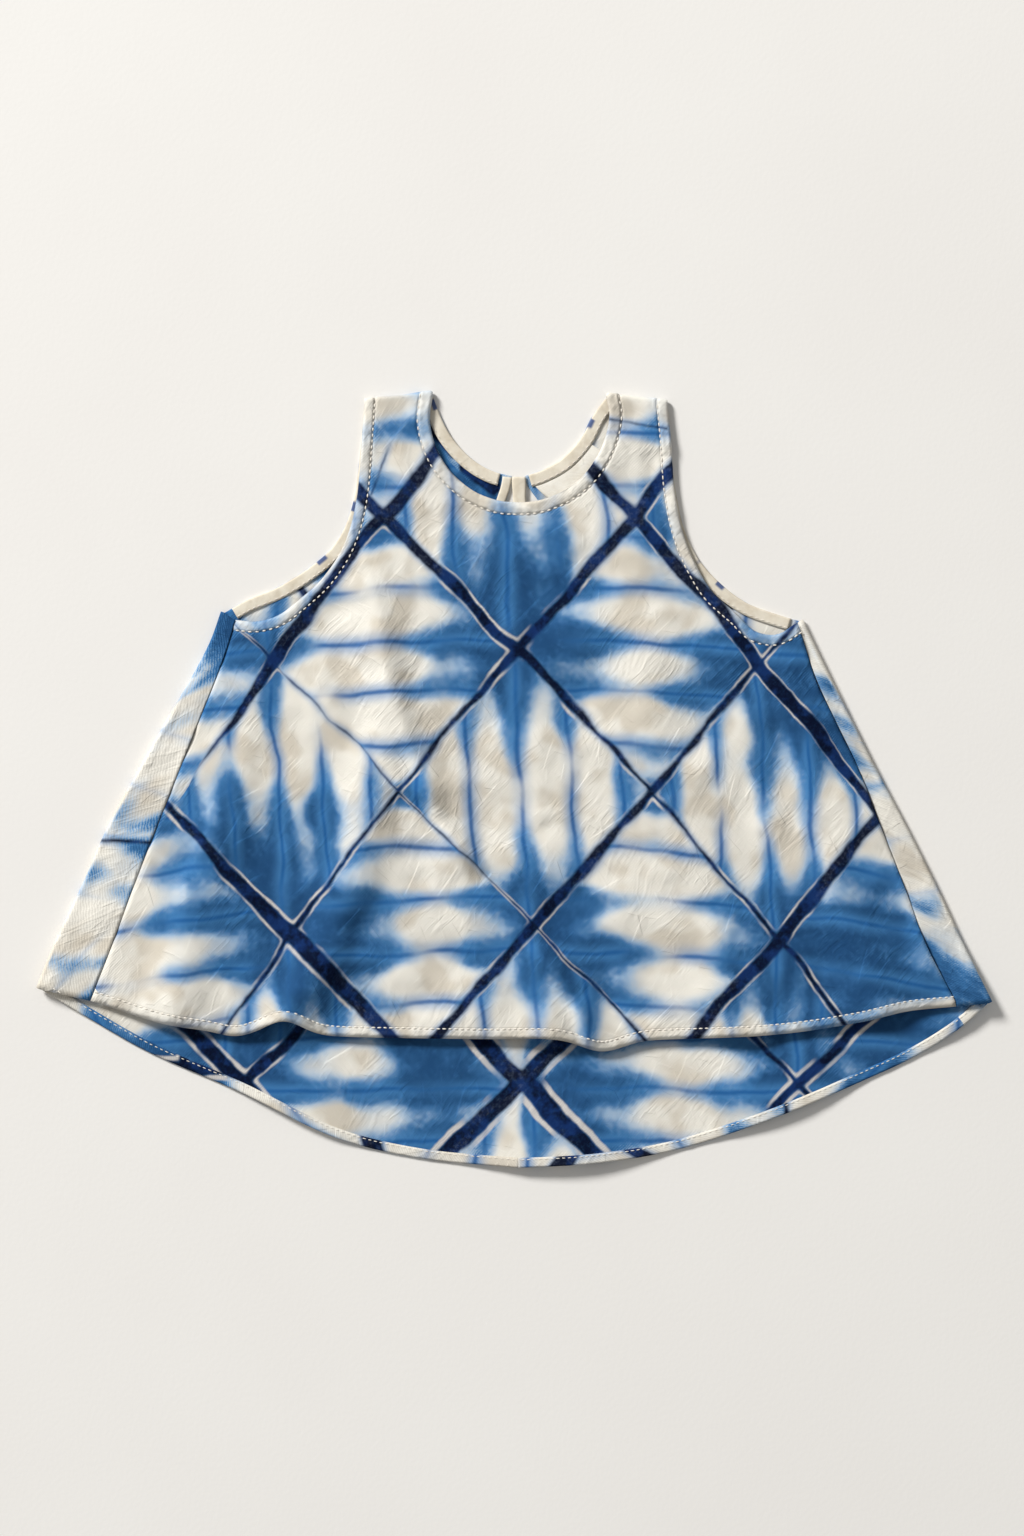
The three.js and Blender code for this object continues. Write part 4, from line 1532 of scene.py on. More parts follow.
    @staticmethod
    def _streaks(g: Graph, lattice: Lattice, place: Socket) -> Socket:
        """Measure the way to the streaks.

        Args:
            g: the panel's graph.
            lattice: where the streaks lie.
            place: the place on the cloth.

        Returns:
            The distance outside the nearest streak.
        """
        outside: object = 99.0
        for streak in lattice.streaks:
            way = (streak.to_x - streak.x, streak.to_y - streak.y, 0.0)
            start = g.vector("SUBTRACT", place, (streak.x, streak.y, 0.0))
            length_squared = way[0] ** 2 + way[1] ** 2
            share = g.math("DIVIDE", g.vector("DOT_PRODUCT", start, way), length_squared, clamp=True)
            shares = g.node("ShaderNodeCombineXYZ", {0: share, 1: share}).outputs[0]
            away = g.vector("DISTANCE", start, g.vector("MULTIPLY", way, shares))
            outside = g.math("MINIMUM", outside, g.minus(away, streak.width))
        return outside

    def _lines(self, g: Graph, lattice: Lattice, a: Socket, b: Socket) -> tuple[Socket, Socket]:
        """Measure the way to the lines.

        Args:
            g: the panel's graph.
            lattice: where the lines lie.
            a: the place across the leftward lines, in line steps.
            b: the place across the rightward lines.

        Returns:
            The distance outside the nearest line, and outside the nearest pale rim.
        """
        back = g.times(b, -1.0)
        outside: object = 90.0
        outside_rim: object = 99.0
        for line in lattice.lines:
            rightward = line.way is RIGHTWARD
            values = (b if rightward else a, a if rightward else back, float(line.index), float(line.first))
            widths = (line.width_a, line.width_b, line.width_c, line.width_d)
            edge, rim = g.group(self.line_edge, *values, *widths, lattice.line_step, line.rim)
            outside = g.math("SMOOTH_MIN", outside, edge, self.join)
            outside_rim = g.math("SMOOTH_MIN", outside_rim, rim, self.join)
        return outside, outside_rim

    @staticmethod
    def _pools(g: Graph, lattice: Lattice, place: Socket) -> Socket:
        """Measure the way into the pools.

        Args:
            g: the panel's graph.
            lattice: where the pools lie.
            place: the place on the cloth.

        Returns:
            How deep the place lies inside the nearest pool.
        """
        depth: object = -60.0
        for pool in lattice.pools:
            away = g.vector("DISTANCE", place, (pool.x, pool.y, 0.0))
            depth = g.math("MAXIMUM", depth, g.minus(pool.reach, away))
        return depth

    @staticmethod
    def _veins(g: Graph, lattice: Lattice, a: Socket, b: Socket, over: Socket, down: Socket) -> Socket:
        """Measure the way to the veins, which stand upright and lie level by turns of the diamonds.

        Args:
            g: the panel's graph.
            lattice: where the veins start and how far apart they are.
            a: the place across the leftward lines, in line steps.
            b: the place across the rightward lines.
            over: the place across the cloth.
            down: the place down the cloth.

        Returns:
            The distance to the nearest vein.
        """
        cell = g.plus(g.math("FLOOR", a), g.math("FLOOR", b))
        level = g.math("PINGPONG", cell, 1.0)
        distances = []
        for value, start in ((over, lattice.vein_x), (down, lattice.vein_y)):
            turn = g.math("DIVIDE", g.minus(value, start), lattice.vein_step)
            distances.append(g.times(g.math("PINGPONG", turn, 0.5), lattice.vein_step))
        upright, flat = distances
        swap = g.node("ShaderNodeMix", data_type="FLOAT")
        for socket, value in zip((swap.inputs[0], swap.inputs[2], swap.inputs[3]), (level, flat, upright)):
            g.put(socket, value)
        return swap.outputs[0]


class Hatch(NamedTuple):
    """A run of fine parallel press creases."""

    turn: float
    along: float
    across: float
    weight: float


class FoldLayer(NamedTuple):
    """A scatter of short sharp press creases, one in a cell."""

    scale: float
    turn: float
    spread: float
    weight: float


HATCHES = (
    Hatch(0.85, 70.0, 430.0, 0.24),
    Hatch(1.15, 45.0, 280.0, 0.22),
    Hatch(-0.75, 60.0, 390.0, 0.2),
)
FOLD_LAYERS = (
    FoldLayer(44.0, 0.9, 0.9, 0.42),
    FoldLayer(72.0, -0.8, 0.9, 0.32),
    FoldLayer(110.0, 2.2, 1.6, 0.24),
)


class ClothGroups:
    """Node groups that the cloth finishes share: the weave, the press creases and the turned bands."""

    def __init__(self) -> None:
        """Build the groups."""
        self.twill = self._twill()
        self.wrinkle = self._wrinkle()
        self.topstitch = self._topstitch()

    @staticmethod
    def _topstitch() -> NodeTree:
        """Build a turned edge: a raised band, and the line where its stitches draw the cloth in.

        Returns:
            The group, from the share of the band's depth to a height, to the strength of painted shade along
            the stitch line and at the band's outer edge, and to the share within the band.
        """
        tree, g, source, sink = node_group(
            "topstitched band",
            [("Band", FLOAT, 0.0), ("Place", VECTOR, None)],
            [("Height", FLOAT), ("Shade", FLOAT), ("Inside", FLOAT)],
        )
        band = source["Band"]
        there = g.math("GREATER_THAN", band, 0.001)
        off_line = g.math("ABSOLUTE", g.minus(band, 1.0))
        near = g.times(g.range(off_line, 0.22, 0.0), there)
        within = g.times(g.range(band, 1.15, 0.9), there)
        height = g.times(within, g.cloud(source["Place"], 190.0, 1.0, 0.7, 0.15))
        g.put(sink.inputs[0], g.scale_add(near, -0.3, height))
        # painted shade: darker along the stitch line and at the band's outer edge
        rim = g.times(g.range(band, 0.16, 0.0), there)
        g.put(sink.inputs[1], g.math("MAXIMUM", g.times(near, 0.7), g.times(rim, 0.4)))
        g.put(sink.inputs[2], within)
        return tree

    @staticmethod
    def _twill() -> NodeTree:
        """Build the twill: fine slanting ribs crossed by the weft.

        Returns:
            The group, from a place in metres to a height from 0 to 1.
        """
        tree, g, source, sink = node_group(
            "twill", [("Place", VECTOR, None), ("Pitch", FLOAT, 0.0015)], [("Height", FLOAT)]
        )
        pitch = g.node("ShaderNodeCombineXYZ", {0: source["Pitch"], 1: source["Pitch"], 2: 1.0}).outputs[0]
        place = g.vector("DIVIDE", source["Place"], pitch)
        x, y = g.parts(g.vector("ADD", place, g.shift(place, 0.35, 2.0, 0.6, 0.9)))
        rib = g.math("SINE", g.times(g.minus(x, y), math.tau))
        weft = g.math("SINE", g.times(y, math.tau * 2))
        height = g.scale_add(rib, 0.34, 0.5)
        height = g.scale_add(weft, 0.12, height)
        g.put(sink.inputs[0], height)
        return tree

    @staticmethod
    def _wrinkle() -> NodeTree:
        """Build the press creases: fine hatches, and straight sharp-edged folds in cells.

        Returns:
            The group, from a place in metres to a height from 0 to about 1.
        """
        tree, g, source, sink = node_group("press creases", [("Place", VECTOR, None)], [("Height", FLOAT)])
        total = g.times(g.noise(source["Place"], 95.0, 2.0, 0.55), 0.7)
        bend = g.scaled(g.noise(source["Place"], 45.0, 1.0, colour=True), 0.006)
        for number, hatch in enumerate(HATCHES):
            apart = (0.23 * number, 0.41 * number, 0.0)
            moved = g.vector("ADD", g.vector("ADD", source["Place"], bend), apart)
            long_cells = g.vector("MULTIPLY", g.turned(moved, -hatch.turn), (hatch.along, hatch.across, 1.0))
            ridge = g.range(g.noise(long_cells, 1.0, 1.0, 0.5), 0.44, 0.74)
            here = g.range(g.noise(moved, 26.0, 1.0), 0.4, 0.62)
            total = g.scale_add(g.times(ridge, here), hatch.weight, total)
        for number, layer in enumerate(FOLD_LAYERS):
            sway = g.scaled(g.noise(source["Place"], layer.scale * 0.6, 1.0, colour=True), 0.2 / layer.scale)
            apart = (0.31 * number, 0.17 * number, 0.0)
            moved = g.vector("ADD", g.vector("ADD", source["Place"], sway), apart)
            inputs = {"Vector": moved, "Scale": layer.scale}
            cell = g.node("ShaderNodeTexVoronoi", inputs, voronoi_dimensions="2D")
            away = g.scaled(g.vector("SUBTRACT", moved, cell.outputs["Position"]), layer.scale)
            first_draw, second_draw = g.parts(cell.outputs["Color"])
            angle = g.scale_add(first_draw, layer.spread, layer.turn - layer.spread / 2)
            x, y = g.parts(g.turned(away, g.times(angle, -1.0)))
            edge = g.times(g.range(y, 0.035, 0.0), g.range(y, -0.2, 0.0))
            ends = g.range(g.math("ABSOLUTE", x), 0.5, 0.25)
            strength = g.times(g.range(second_draw, 0.25, 0.9), layer.weight)
            ridge = g.times(g.times(edge, ends), strength)
            total = g.plus(total, ridge)
        g.put(sink.inputs[0], total)
        return tree


@dataclass(frozen=True)
class DyedCotton:
    """Washed cotton twill, tie-dyed in indigo."""

    name: str
    lattice: Lattice
    cream: str = "E4E0D6"
    # random patches of this beige on the cream are painted shade, standing in for the soft shade of folds
    beige: str = "C3B8A6"
    pale_blue: str = "AFC6DC"
    light_blue: str = "76A3CB"
    mid_blue: str = "3A6D9F"
    deep_blue: str = "204873"
    bleed: str = "4681B8"
    vein: str = "1E5590"
    navy: str = "040C26"
    soft_navy: str = "112B5C"
    rim: str = "D2CCC5"
    # the colour of painted shade along each band's stitch line and outer edge
    seam: str = "3A3A44"
    beige_shade_share: float = 0.62
    grain_share: float = 0.42
    # how strongly painted shade darkens the weave's low ribs
    weave_shade_share: float = 0.26
    halo_share: float = 0.72
    vein_share: float = 0.8
    bleed_share: float = 0.6
    rim_share: float = 0.85
    stitch_shade_share: float = 0.22
    turned_loss: float = 0.5  # how much less dye the turned bands took

    def make(self, dyes: DyeGroups, cloths: ClothGroups) -> Material:
        """Build the material.

        Args:
            dyes: the dye's node groups.
            cloths: the weave's node groups.

        Returns:
            The material, read on the piece's own flat position.
        """
        material, g = new_material(self.name)
        place = g.node("ShaderNodeUVMap", uv_map="cloth").outputs[0]
        strip = g.node("ShaderNodeAttribute", attribute_name="strip").outputs["Fac"]
        band = g.node("ShaderNodeAttribute", attribute_name="band").outputs["Fac"]
        dye = g.group(dyes.panel(f"{self.name} dye", self.lattice), place, strip)
        twill = g.group(cloths.twill, place)[0]
        wrinkle = g.group(cloths.wrinkle, place)[0]
        height, shade, inside = g.group(cloths.topstitch, band, place)
        colour = self._colour(g, place, dye, twill, wrinkle, inside)
        # painted shade along each band's stitch line and outer edge
        colour = g.mix(g.times(shade, self.stitch_shade_share), colour, srgb(self.seam))
        relief = g.scale_add(twill, 0.06, g.times(wrinkle, 0.5))
        DYED_GLOSS.dress(g, colour, g.plus(relief, height))
        return material

    def _colour(
        self,
        g: Graph,
        place: Socket,
        dye: bpy.types.NodeOutputs,
        twill: Socket,
        wrinkle: Socket,
        turned: Socket,
    ) -> Socket:
        """Lay the dye over the cream, with painted shade and light: random beige patches for the soft shade
        of folds, paler press creases in the blue for their highlights, and darker low ribs of the weave.

        Args:
            g: the material's graph.
            place: the place on the flat cloth.
            dye: what the panel's dye gives.
            twill: the weave's height.
            wrinkle: the press creases' height.
            turned: 1 on the turned bands, where the dye took less.

        Returns:
            The colour.
        """
        taken = g.scale_add(turned, -self.turned_loss, 1.0)
        soak = g.times(dye["Dye"], taken)
        blotch = g.noise(place, 75.0, 3.0, 0.65)
        grain = g.noise(place, 420.0, 3.0, 0.75)
        # painted shade: random beige patches on the cream stand in for the soft shade of folds
        painted_fold_shade = g.range(g.noise(place, 40.0, 2.0, 0.5), 0.45, 0.66)
        ground = g.mix(g.times(painted_fold_shade, self.beige_shade_share), srgb(self.cream), srgb(self.beige))
        mottle = g.scale_add(blotch, 0.5, -0.25)
        mottle = g.scale_add(g.minus(grain, 0.5), self.grain_share, mottle)
        # painted highlight: the higher the press crease, the paler the blue
        mottle = g.scale_add(g.minus(wrinkle, 0.6), -0.16, mottle)
        mottle = g.scale_add(g.minus(twill, 0.5), 0.4, mottle)
        tone = g.scale_add(mottle, g.range(soak, 0.05, 0.8), soak)
        blues = (self.pale_blue, self.light_blue, self.mid_blue, self.deep_blue)
        blue = g.ramp(tone, list(zip((0.0, 0.38, 0.72, 1.0), map(srgb, blues))))
        colour = g.mix(g.range(tone, 0.02, 0.66), ground, blue)
        patchy = g.times(g.range(g.noise(place, 24.0, 1.5), 0.24, 0.56), taken)
        halo = g.math("POWER", g.range(dye["Vein"], 9.0, 0.0), 1.6)
        colour = g.mix(g.times(halo, g.times(patchy, self.halo_share)), colour, srgb(self.bleed))
        core = g.times(g.range(dye["Vein"], 2.0, 0.1), g.times(patchy, self.vein_share))
        colour = g.mix(core, colour, srgb(self.vein))
        spread = g.times(g.math("POWER", dye["Bleed"], 2.0), g.range(soak, 0.75, 0.1))
        colour = g.mix(g.times(spread, self.bleed_share), colour, srgb(self.bleed))
        broken = g.range(g.noise(place, 30.0, 2.0, 0.6), 0.34, 0.58)
        rim = g.times(dye["Rim"], g.times(g.range(soak, 0.25, 0.8), broken))
        colour = g.mix(g.times(rim, self.rim_share), colour, srgb(self.rim))
        ink = g.mix(g.range(blotch, 0.42, 0.66), srgb(self.navy), srgb(self.soft_navy))
        depth = g.scale_add(g.range(grain, 0.25, 0.6), 0.08, 0.91)
        colour = g.mix(g.times(dye["Line"], depth), colour, ink)
        # painted shade: the weave's low ribs darken the colour
        return g.shaded(colour, g.scale_add(twill, self.weave_shade_share, 0.87))


@dataclass(frozen=True)
class PlainCotton:
    """Plain cream cotton of the facings, binding, tab and label."""

    name: str
    colour: str = "E6DECD"
    shade: str = "D6CBB7"
    weave: float = 0.0008
    stain: float = 0.0
    stain_blue: str = "1F4680"

    def make(self, cloths: ClothGroups) -> Material:
        """Build the material.

        Args:
            cloths: the weave's node groups.

        Returns:
            The material.
        """
        material, g = new_material(self.name)
        place = g.node("ShaderNodeUVMap", uv_map="cloth").outputs[0]
        twill = g.group(cloths.twill, place, self.weave)[0]
        wrinkle = g.group(cloths.wrinkle, place)[0]
        tint = g.range(g.noise(place, 90.0, 3.0, 0.6), 0.35, 0.7)
        colour = g.mix(tint, srgb(self.colour), srgb(self.shade))
        if self.stain:
            patch = g.range(g.noise(g.vector("MULTIPLY", place, (1.0, 0.1, 0.0)), 60.0, 1.0), 0.6, 0.65)
            edge = g.times(patch, g.range(g.parts(place)[1], 0.003, 0.0016))
            colour = g.mix(g.times(edge, self.stain), colour, srgb(self.stain_blue))
        relief = g.scale_add(twill, 0.12, g.times(wrinkle, 0.35))
        # painted shade: the weave's low ribs darken the colour
        PLAIN_GLOSS.dress(g, g.shaded(colour, g.scale_add(twill, 0.14, 0.93)), relief)
        return material


@dataclass(frozen=True)
class Thread:
    """Off-white sewing thread."""

    name: str = "sewing thread"
    colour: str = "F1ECE2"
    shade: str = "DCD4C6"

    def make(self) -> Material:
        """Build the material.

        Returns:
            The material, with a fine twist.
        """
        material, g = new_material(self.name)
        fibre = g.noise(g.node("ShaderNodeTexCoord").outputs["Object"], 2600.0, 2.0, 0.6)
        # painted shade: the same noise lowers the fibres and darkens them, so the twist's low fibres look
        # shaded
        tint = g.mix(g.range(fibre, 0.3, 0.7), srgb(self.shade), srgb(self.colour))
        THREAD_GLOSS.dress(g, tint, fibre)
        return material


@dataclass
class Panel:
    """A panel as one grid of two halves, cut open along its middle from one row up."""

    half_columns: int
    steps_a_row: int = 5
    stations: Array = field(init=False)

    def shape(self, side: Side, across: Array, row: Array) -> tuple[Array, Array]:
        """Give the places of half of the panel's corners.

        Args:
            side: which half.
            across: from the middle to the edge.
            row: the row numbers.

        Returns:
            The places, and the places on the flat cloth.
        """
        raise NotImplementedError

    def lay(self, cloth: ClothMesh, cut_row: int) -> tuple[list[bmesh.types.BMVert], Array]:
        """Lay both halves.

        Args:
            cloth: the panel's empty mesh.
            cut_row: the row where the cut along the middle starts.

        Returns:
            The corners and their places.
        """
        rows = len(self.stations) - 1
        verts, _ = cloth.grid(self.half_columns * 2, rows)
        cloth.split_above(verts, cut_row * self.steps_a_row / rows)
        verts = list(cloth.bm.verts)
        places = np.array([(v.co.x * 2, v.co.y + 0.5) for v in verts])
        leans = np.array([sum(f.calc_center_median().x for f in v.link_faces) for v in verts])
        row = self.stations[np.rint(places[:, 1] * rows).astype(int)]
        points, flat = np.zeros((len(verts), 3)), np.zeros((len(verts), 2))
        for side in Side:
            mine = leans < 0 if side is Side.LEFT else leans >= 0
            points[mine], flat[mine] = self.shape(side, np.abs(places[mine, 0]), row[mine])
        cloth.place(verts, points, flat)
        return verts, points


@dataclass
class FrontPanel(Panel):
    """The front with the front of both straps, turned over the shoulders."""

    half_columns: int = 92
    turn_steps: int = 6
    wrap_steps: int = 3

    def __post_init__(self) -> None:
        """Set the rows: the body, the turn over the shoulder and the wrap behind it."""
        body = np.linspace(0, FRONT_ROWS, FRONT_ROWS * self.steps_a_row + 1)
        turn = FRONT_ROWS + np.linspace(0, 1, self.turn_steps + 1)[1:]
        wrap = FRONT_ROWS + 1 + np.linspace(0, 1, self.wrap_steps + 1)[1:]
        self.stations = np.concatenate([body, turn, wrap])

    def build(self, material: Material) -> Piece:
        """Make the panel.

        Args:
            material: its finish.

        Returns:
            The piece.
        """
        cloth = ClothMesh("front_cloth")
        verts, points = self.lay(cloth, SEAM_ROWS + FRONT_CHEST_ROWS)
        shares = [np.maximum(near, 0.05) / band.depth for band, near in LIE.front_bands(points[:, :2])]
        for vert, share in zip(verts, np.min(shares, axis=0)):
            vert[cloth.band] = share
        return cloth.finish(CLOTH, material)

    def shape(self, side: Side, across: Array, row: Array) -> tuple[Array, Array]:
        """Give half of the front, with its shoulder turned over.

        Args:
            side: which half.
            across: from the middle to the edge.
            row: the row numbers.

        Returns:
            The places, and the places on the flat cloth.
        """
        body_row = np.minimum(row, FRONT_ROWS)
        hem_share = np.clip(1 - body_row / SEAM_ROWS, 0, 1)
        hem = partial(PATTERN.front_hem, side)
        spot = panel_points(PATTERN.front_edges(side), hem, across, body_row, hem_share)
        spot[:, 1] -= underarm_sag(across, body_row)
        x, y = spot[:, 0], spot[:, 1]
        z = LIE.front(x, y) + LIE.front_relief(x, y)
        points, flat = np.column_stack([x, y, z]), spot.copy()
        over = row > FRONT_ROWS
        turn = np.clip(row[over] - FRONT_ROWS, 0, 1)
        wrap = np.clip(row[over] - FRONT_ROWS - 1, 0, 1) * SHOULDER_WRAP
        low = LIE.back(x[over], y[over])
        radius = (z[over] - low) / 2
        out = PATTERN.shoulder(side, np.array(0.0))[1]
        angle = np.pi * (0.5 - turn)
        reach = radius * np.cos(angle) - wrap
        points[over, 0] = x[over] + out[0] * reach
        points[over, 1] = y[over] + out[1] * reach
        points[over, 2] = low + radius + radius * np.sin(angle)
        flat[over, 1] += turn * np.pi * radius + wrap
        return points, flat


@dataclass
class BackPanel(Panel):
    """The back: the lower layer, the side folds, and the strips up to the side seams."""

    half_columns: int = 76
    fold_steps: int = 10
    strip_steps: int = 14

    def __post_init__(self) -> None:
        """Set the rows, which are the same on the lower layer and on the side strips up to the underarm."""
        self.stations = np.linspace(0, BACK_ROWS, BACK_ROWS * self.steps_a_row + 1)

    def build(self, material: Material) -> Piece:
        """Make the panel.

        Args:
            material: its finish.

        Returns:
            The piece.
        """
        cloth = ClothMesh("back_cloth")
        self.lay(cloth, BACK_CENTRE_ROWS)
        for side in Side:
            self.add_wing(cloth, side)
        bmesh.ops.remove_doubles(cloth.bm, verts=list(cloth.bm.verts), dist=2e-6)
        return cloth.finish(CLOTH, material)

    def shape(self, side: Side, across: Array, row: Array) -> tuple[Array, Array]:
        """Give half of the lower layer.

        Args:
            side: which half.
            across: from the middle to the edge.
            row: the row numbers.

        Returns:
            The places, and the places on the flat cloth.
        """
        edges = PATTERN.back_edges(side)
        first, bent = edges[0].at(np.array(0.0)), edges[0].at(np.array(float(SEAM_ROWS)))
        run = np.linalg.norm(edges[0].at(row) - first, axis=1) / np.linalg.norm(bent - first)
        hem_share = np.clip(1 - run, 0, 1)
        spot = panel_points(edges, partial(PATTERN.back_hem, side), across, row, hem_share)
        x, y = spot[:, 0], spot[:, 1]
        calm = smooth_step(1 - across, 0.0, 0.03)
        z = LIE.back(x, y) + LIE.back_relief(x, y) * calm
        return np.column_stack([x, y, z]), spot

    def add_wing(self, cloth: ClothMesh, side: Side) -> None:
        """Add one side's fold and the strip on the upper layer.

        Args:
            cloth: the panel's mesh.
            side: which side.
        """
        rows = SEAM_ROWS * self.steps_a_row
        columns = self.fold_steps + self.strip_steps
        verts, places = cloth.grid(columns, rows)
        step = np.rint(places[:, 0] * columns)
        share = places[:, 1]
        centre = PATTERN.fold_centre(side)(share)
        out = PATTERN.fold_out(side, share)
        seam = PATTERN.seam(side)(share) + np.array([side.sign * SEAM_GAP / 2, 0.0])
        low = LIE.back(centre[:, 0], centre[:, 1])
        high = LIE.front(centre[:, 0], centre[:, 1])
        radius = (high - low) / 2
        turn = np.clip(step / self.fold_steps, 0, 1)
        strip = np.clip((step - self.fold_steps) / self.strip_steps, 0, 1)
        angle = np.pi * (turn - 0.5)
        spot = centre + out * (radius * np.cos(angle))[:, None]
        spot = np.where(strip[:, None] > 0, centre + (seam - centre) * strip[:, None], spot)
        z = low + radius + radius * np.sin(angle)
        relief = LIE.front(spot[:, 0], spot[:, 1]) + self.strip_relief(spot, strip)
        z = np.where(strip > 0, relief, z)
        arc = turn * np.pi * radius + np.linalg.norm(seam - centre, axis=1) * strip
        flat = centre + np.stack([side.sign * arc, np.zeros_like(arc)], axis=-1)
        cloth.place(verts, np.column_stack([spot, z]), flat)
        for vert, part in zip(verts, turn):
            vert[cloth.strip] = part

    @staticmethod
    def strip_relief(spot: Array, strip: Array) -> Array:
        """Give the creases of a side strip, level at its fold.

        Args:
            spot: places in the plane.
            strip: the share of the way from the fold to the seam.

        Returns:
            The added height at each place.
        """
        x, y = spot[:, 0], spot[:, 1]
        loose = 0.7 * crumple(x, y, 19.0, 6.0)
        grip = 0.7 * crumple(x * 0.3, y, 13.0, 9.0) * (1 - np.abs(2 * strip - 1))
        return (loose + grip) * smooth_step(strip, 0.0, 0.2)


class Edge(Enum):
    """An edge of the back that a trim follows."""

    NECK = "neck"
    ARMHOLE = "armhole"
    KEYHOLE = "keyhole"
    HEM = "hem"


@dataclass
class EdgeTrim:
    """A band that lies on the back's inner face along one of its edges."""

    name: str
    node: str
    edge: Edge
    side: Side
    start: float
    end: float
    width: float
    inset: float = 0.1
    slant: float = 0.0
    rise: float = 0.75
    thickness: float = 0.7
    crown: float = 0.18
    ripple: float = 0.1
    step_across: float = 0.9
    step_along: float = 1.1
    end_gap: float = 0.01  # the share of the edge that the stitches keep off each end
    right_shift: float = 317.0  # keeps the right trims' weave and marks unlike the left ones'
    hem_shift: tuple[float, float] = (31.0, -9.0)  # keeps the turned hem's dye unlike the panel's

    def curve(self) -> tuple[SmoothCurve, int]:
        """Find the edge that the band follows.

        Returns:
            The edge, and 1 where the cloth is to the left of its direction, else -1.
        """
        left = -self.side.sign
        if self.edge is Edge.KEYHOLE:
            return PATTERN.keyhole(self.side), left
        if self.edge is Edge.HEM:
            return SmoothCurve(PATTERN.back_hem(self.side, np.linspace(0, 1, 60))), -left
        if self.edge is Edge.NECK:
            return PATTERN.back_neck(self.side, 0.0), left
        return PATTERN.back_armhole(self.side, 0.0), -left

    def build(self, material: Material) -> Piece:
        """Make the band.

        Args:
            material: its finish.

        Returns:
            The piece.
        """
        curve, left = self.curve()
        cloth = ClothMesh(self.name)
        columns = max(4, round(self.width / self.step_across))
        rows = max(8, round(curve.length * (self.end - self.start) / self.step_along))
        verts, places = cloth.grid(columns, rows)
        across, along = places[:, 0], places[:, 1]
        first = self.start + self.slant * across
        share = first + (self.end - first) * along
        point = curve.at(share)
        ahead = curve.along(share)
        aside = left_of(ahead) * left
        inset = self.inset + self.width * across
        spot = point + aside * inset[:, None]
        x, y = spot[:, 0], spot[:, 1]
        crown = self.crown * np.sin(np.pi * across) ** 0.6
        ripple = self.ripple * crumple(x, y, 5.0, 4.0)
        z = LIE.back(x, y) + self.rise + crown + ripple
        apart = 0.0 if self.side is Side.LEFT else self.right_shift
        flat = np.column_stack([share * curve.length + apart, inset])
        if self.edge is Edge.HEM:
            flat = point - aside * inset[:, None] + np.array(self.hem_shift)
        cloth.place(verts, np.column_stack([spot, z]), flat)
        return cloth.finish(self.thickness, material)

    def stitch_line(self, inset: float) -> tuple[Array, Array]:
        """Give a line of places along the band.

        Args:
            inset: from the panel's edge.

        Returns:
            The places and the directions.
        """
        curve, left = self.curve()
        count = int(curve.length * (self.end - self.start) / STITCH_PITCH)
        share = np.linspace(self.start + self.end_gap, self.end - self.end_gap, count)
        ahead = curve.along(share)
        aside = left_of(ahead) * left
        return curve.at(share) + aside * inset, ahead


@dataclass
class KeyholeTab:
    """The tab that hangs from the neck edge over the keyhole."""

    width: float = 6.6
    length: float = 20.0
    rise: float = 1.1
    thickness: float = 0.9
    crown: float = 0.35
    lift: float = 0.3
    ripple: float = 0.06

    def build(self, material: Material) -> Piece:
        """Make the tab: a folded strip with soft edges.

        Args:
            material: its finish.

        Returns:
            The piece.
        """
        cloth = ClothMesh("tab_cloth")
        verts, places = cloth.grid(8, 20)
        across, along = places[:, 0] - 0.5, places[:, 1]
        top_y = NECK_Y["back"] - 0.4
        x = CENTRE_X + 0.3 + 0.5 * along + across * self.width * (1 + self.ripple * np.sin(along * 9))
        y = top_y - along * self.length
        swell = self.crown * np.cos(across * np.pi) ** 0.5 + self.lift * np.sin(along * 2.6)
        z = LIE.back(x, y) + self.rise + swell
        flat = np.column_stack([across * self.width, along * self.length])
        cloth.place(verts, np.column_stack([x, y, z]), flat)
        return cloth.finish(self.thickness, material)


class TopStitches:
    """The rows of stitches on the front, the hems and the facings."""

    @staticmethod
    def along(line: Array, inset: float, inward: int) -> tuple[Array, Array]:
        """Space stitches along an edge.

        Args:
            line: the edge's points in order.
            inset: how far in from the edge.
            inward: 1 where the cloth is to the left of the edge's direction, else -1.

        Returns:
            The stitches' places in the plane, and their directions.
        """
        curve = SmoothCurve(line[::3])
        count = int(curve.length / STITCH_PITCH)
        share = (np.arange(count) + 0.5) / count
        ahead = curve.along(share)
        aside = left_of(ahead) * inward
        return curve.at(share) + aside * inset, ahead

    @staticmethod
    def front_lines() -> list[tuple[Array, Array]]:
        """Space the stitches round the neck, the armholes and the front hem.

        Returns:
            The places and directions of each row.
        """
        share = np.linspace(0, 1, 160)
        rows = []
        for side in Side:
            left = -side.sign
            neck = PATTERN.front_neck(side).at(share)
            arm = PATTERN.front_armhole(side).at(share)
            hem = PATTERN.front_hem(side, share)
            rows.append(TopStitches.along(neck, NECK_BAND.depth, left))
            rows.append(TopStitches.along(arm, ARMHOLE_BAND.depth, -left))
            rows.append(TopStitches.along(hem, HEM_BAND.depth, -left))
        return rows


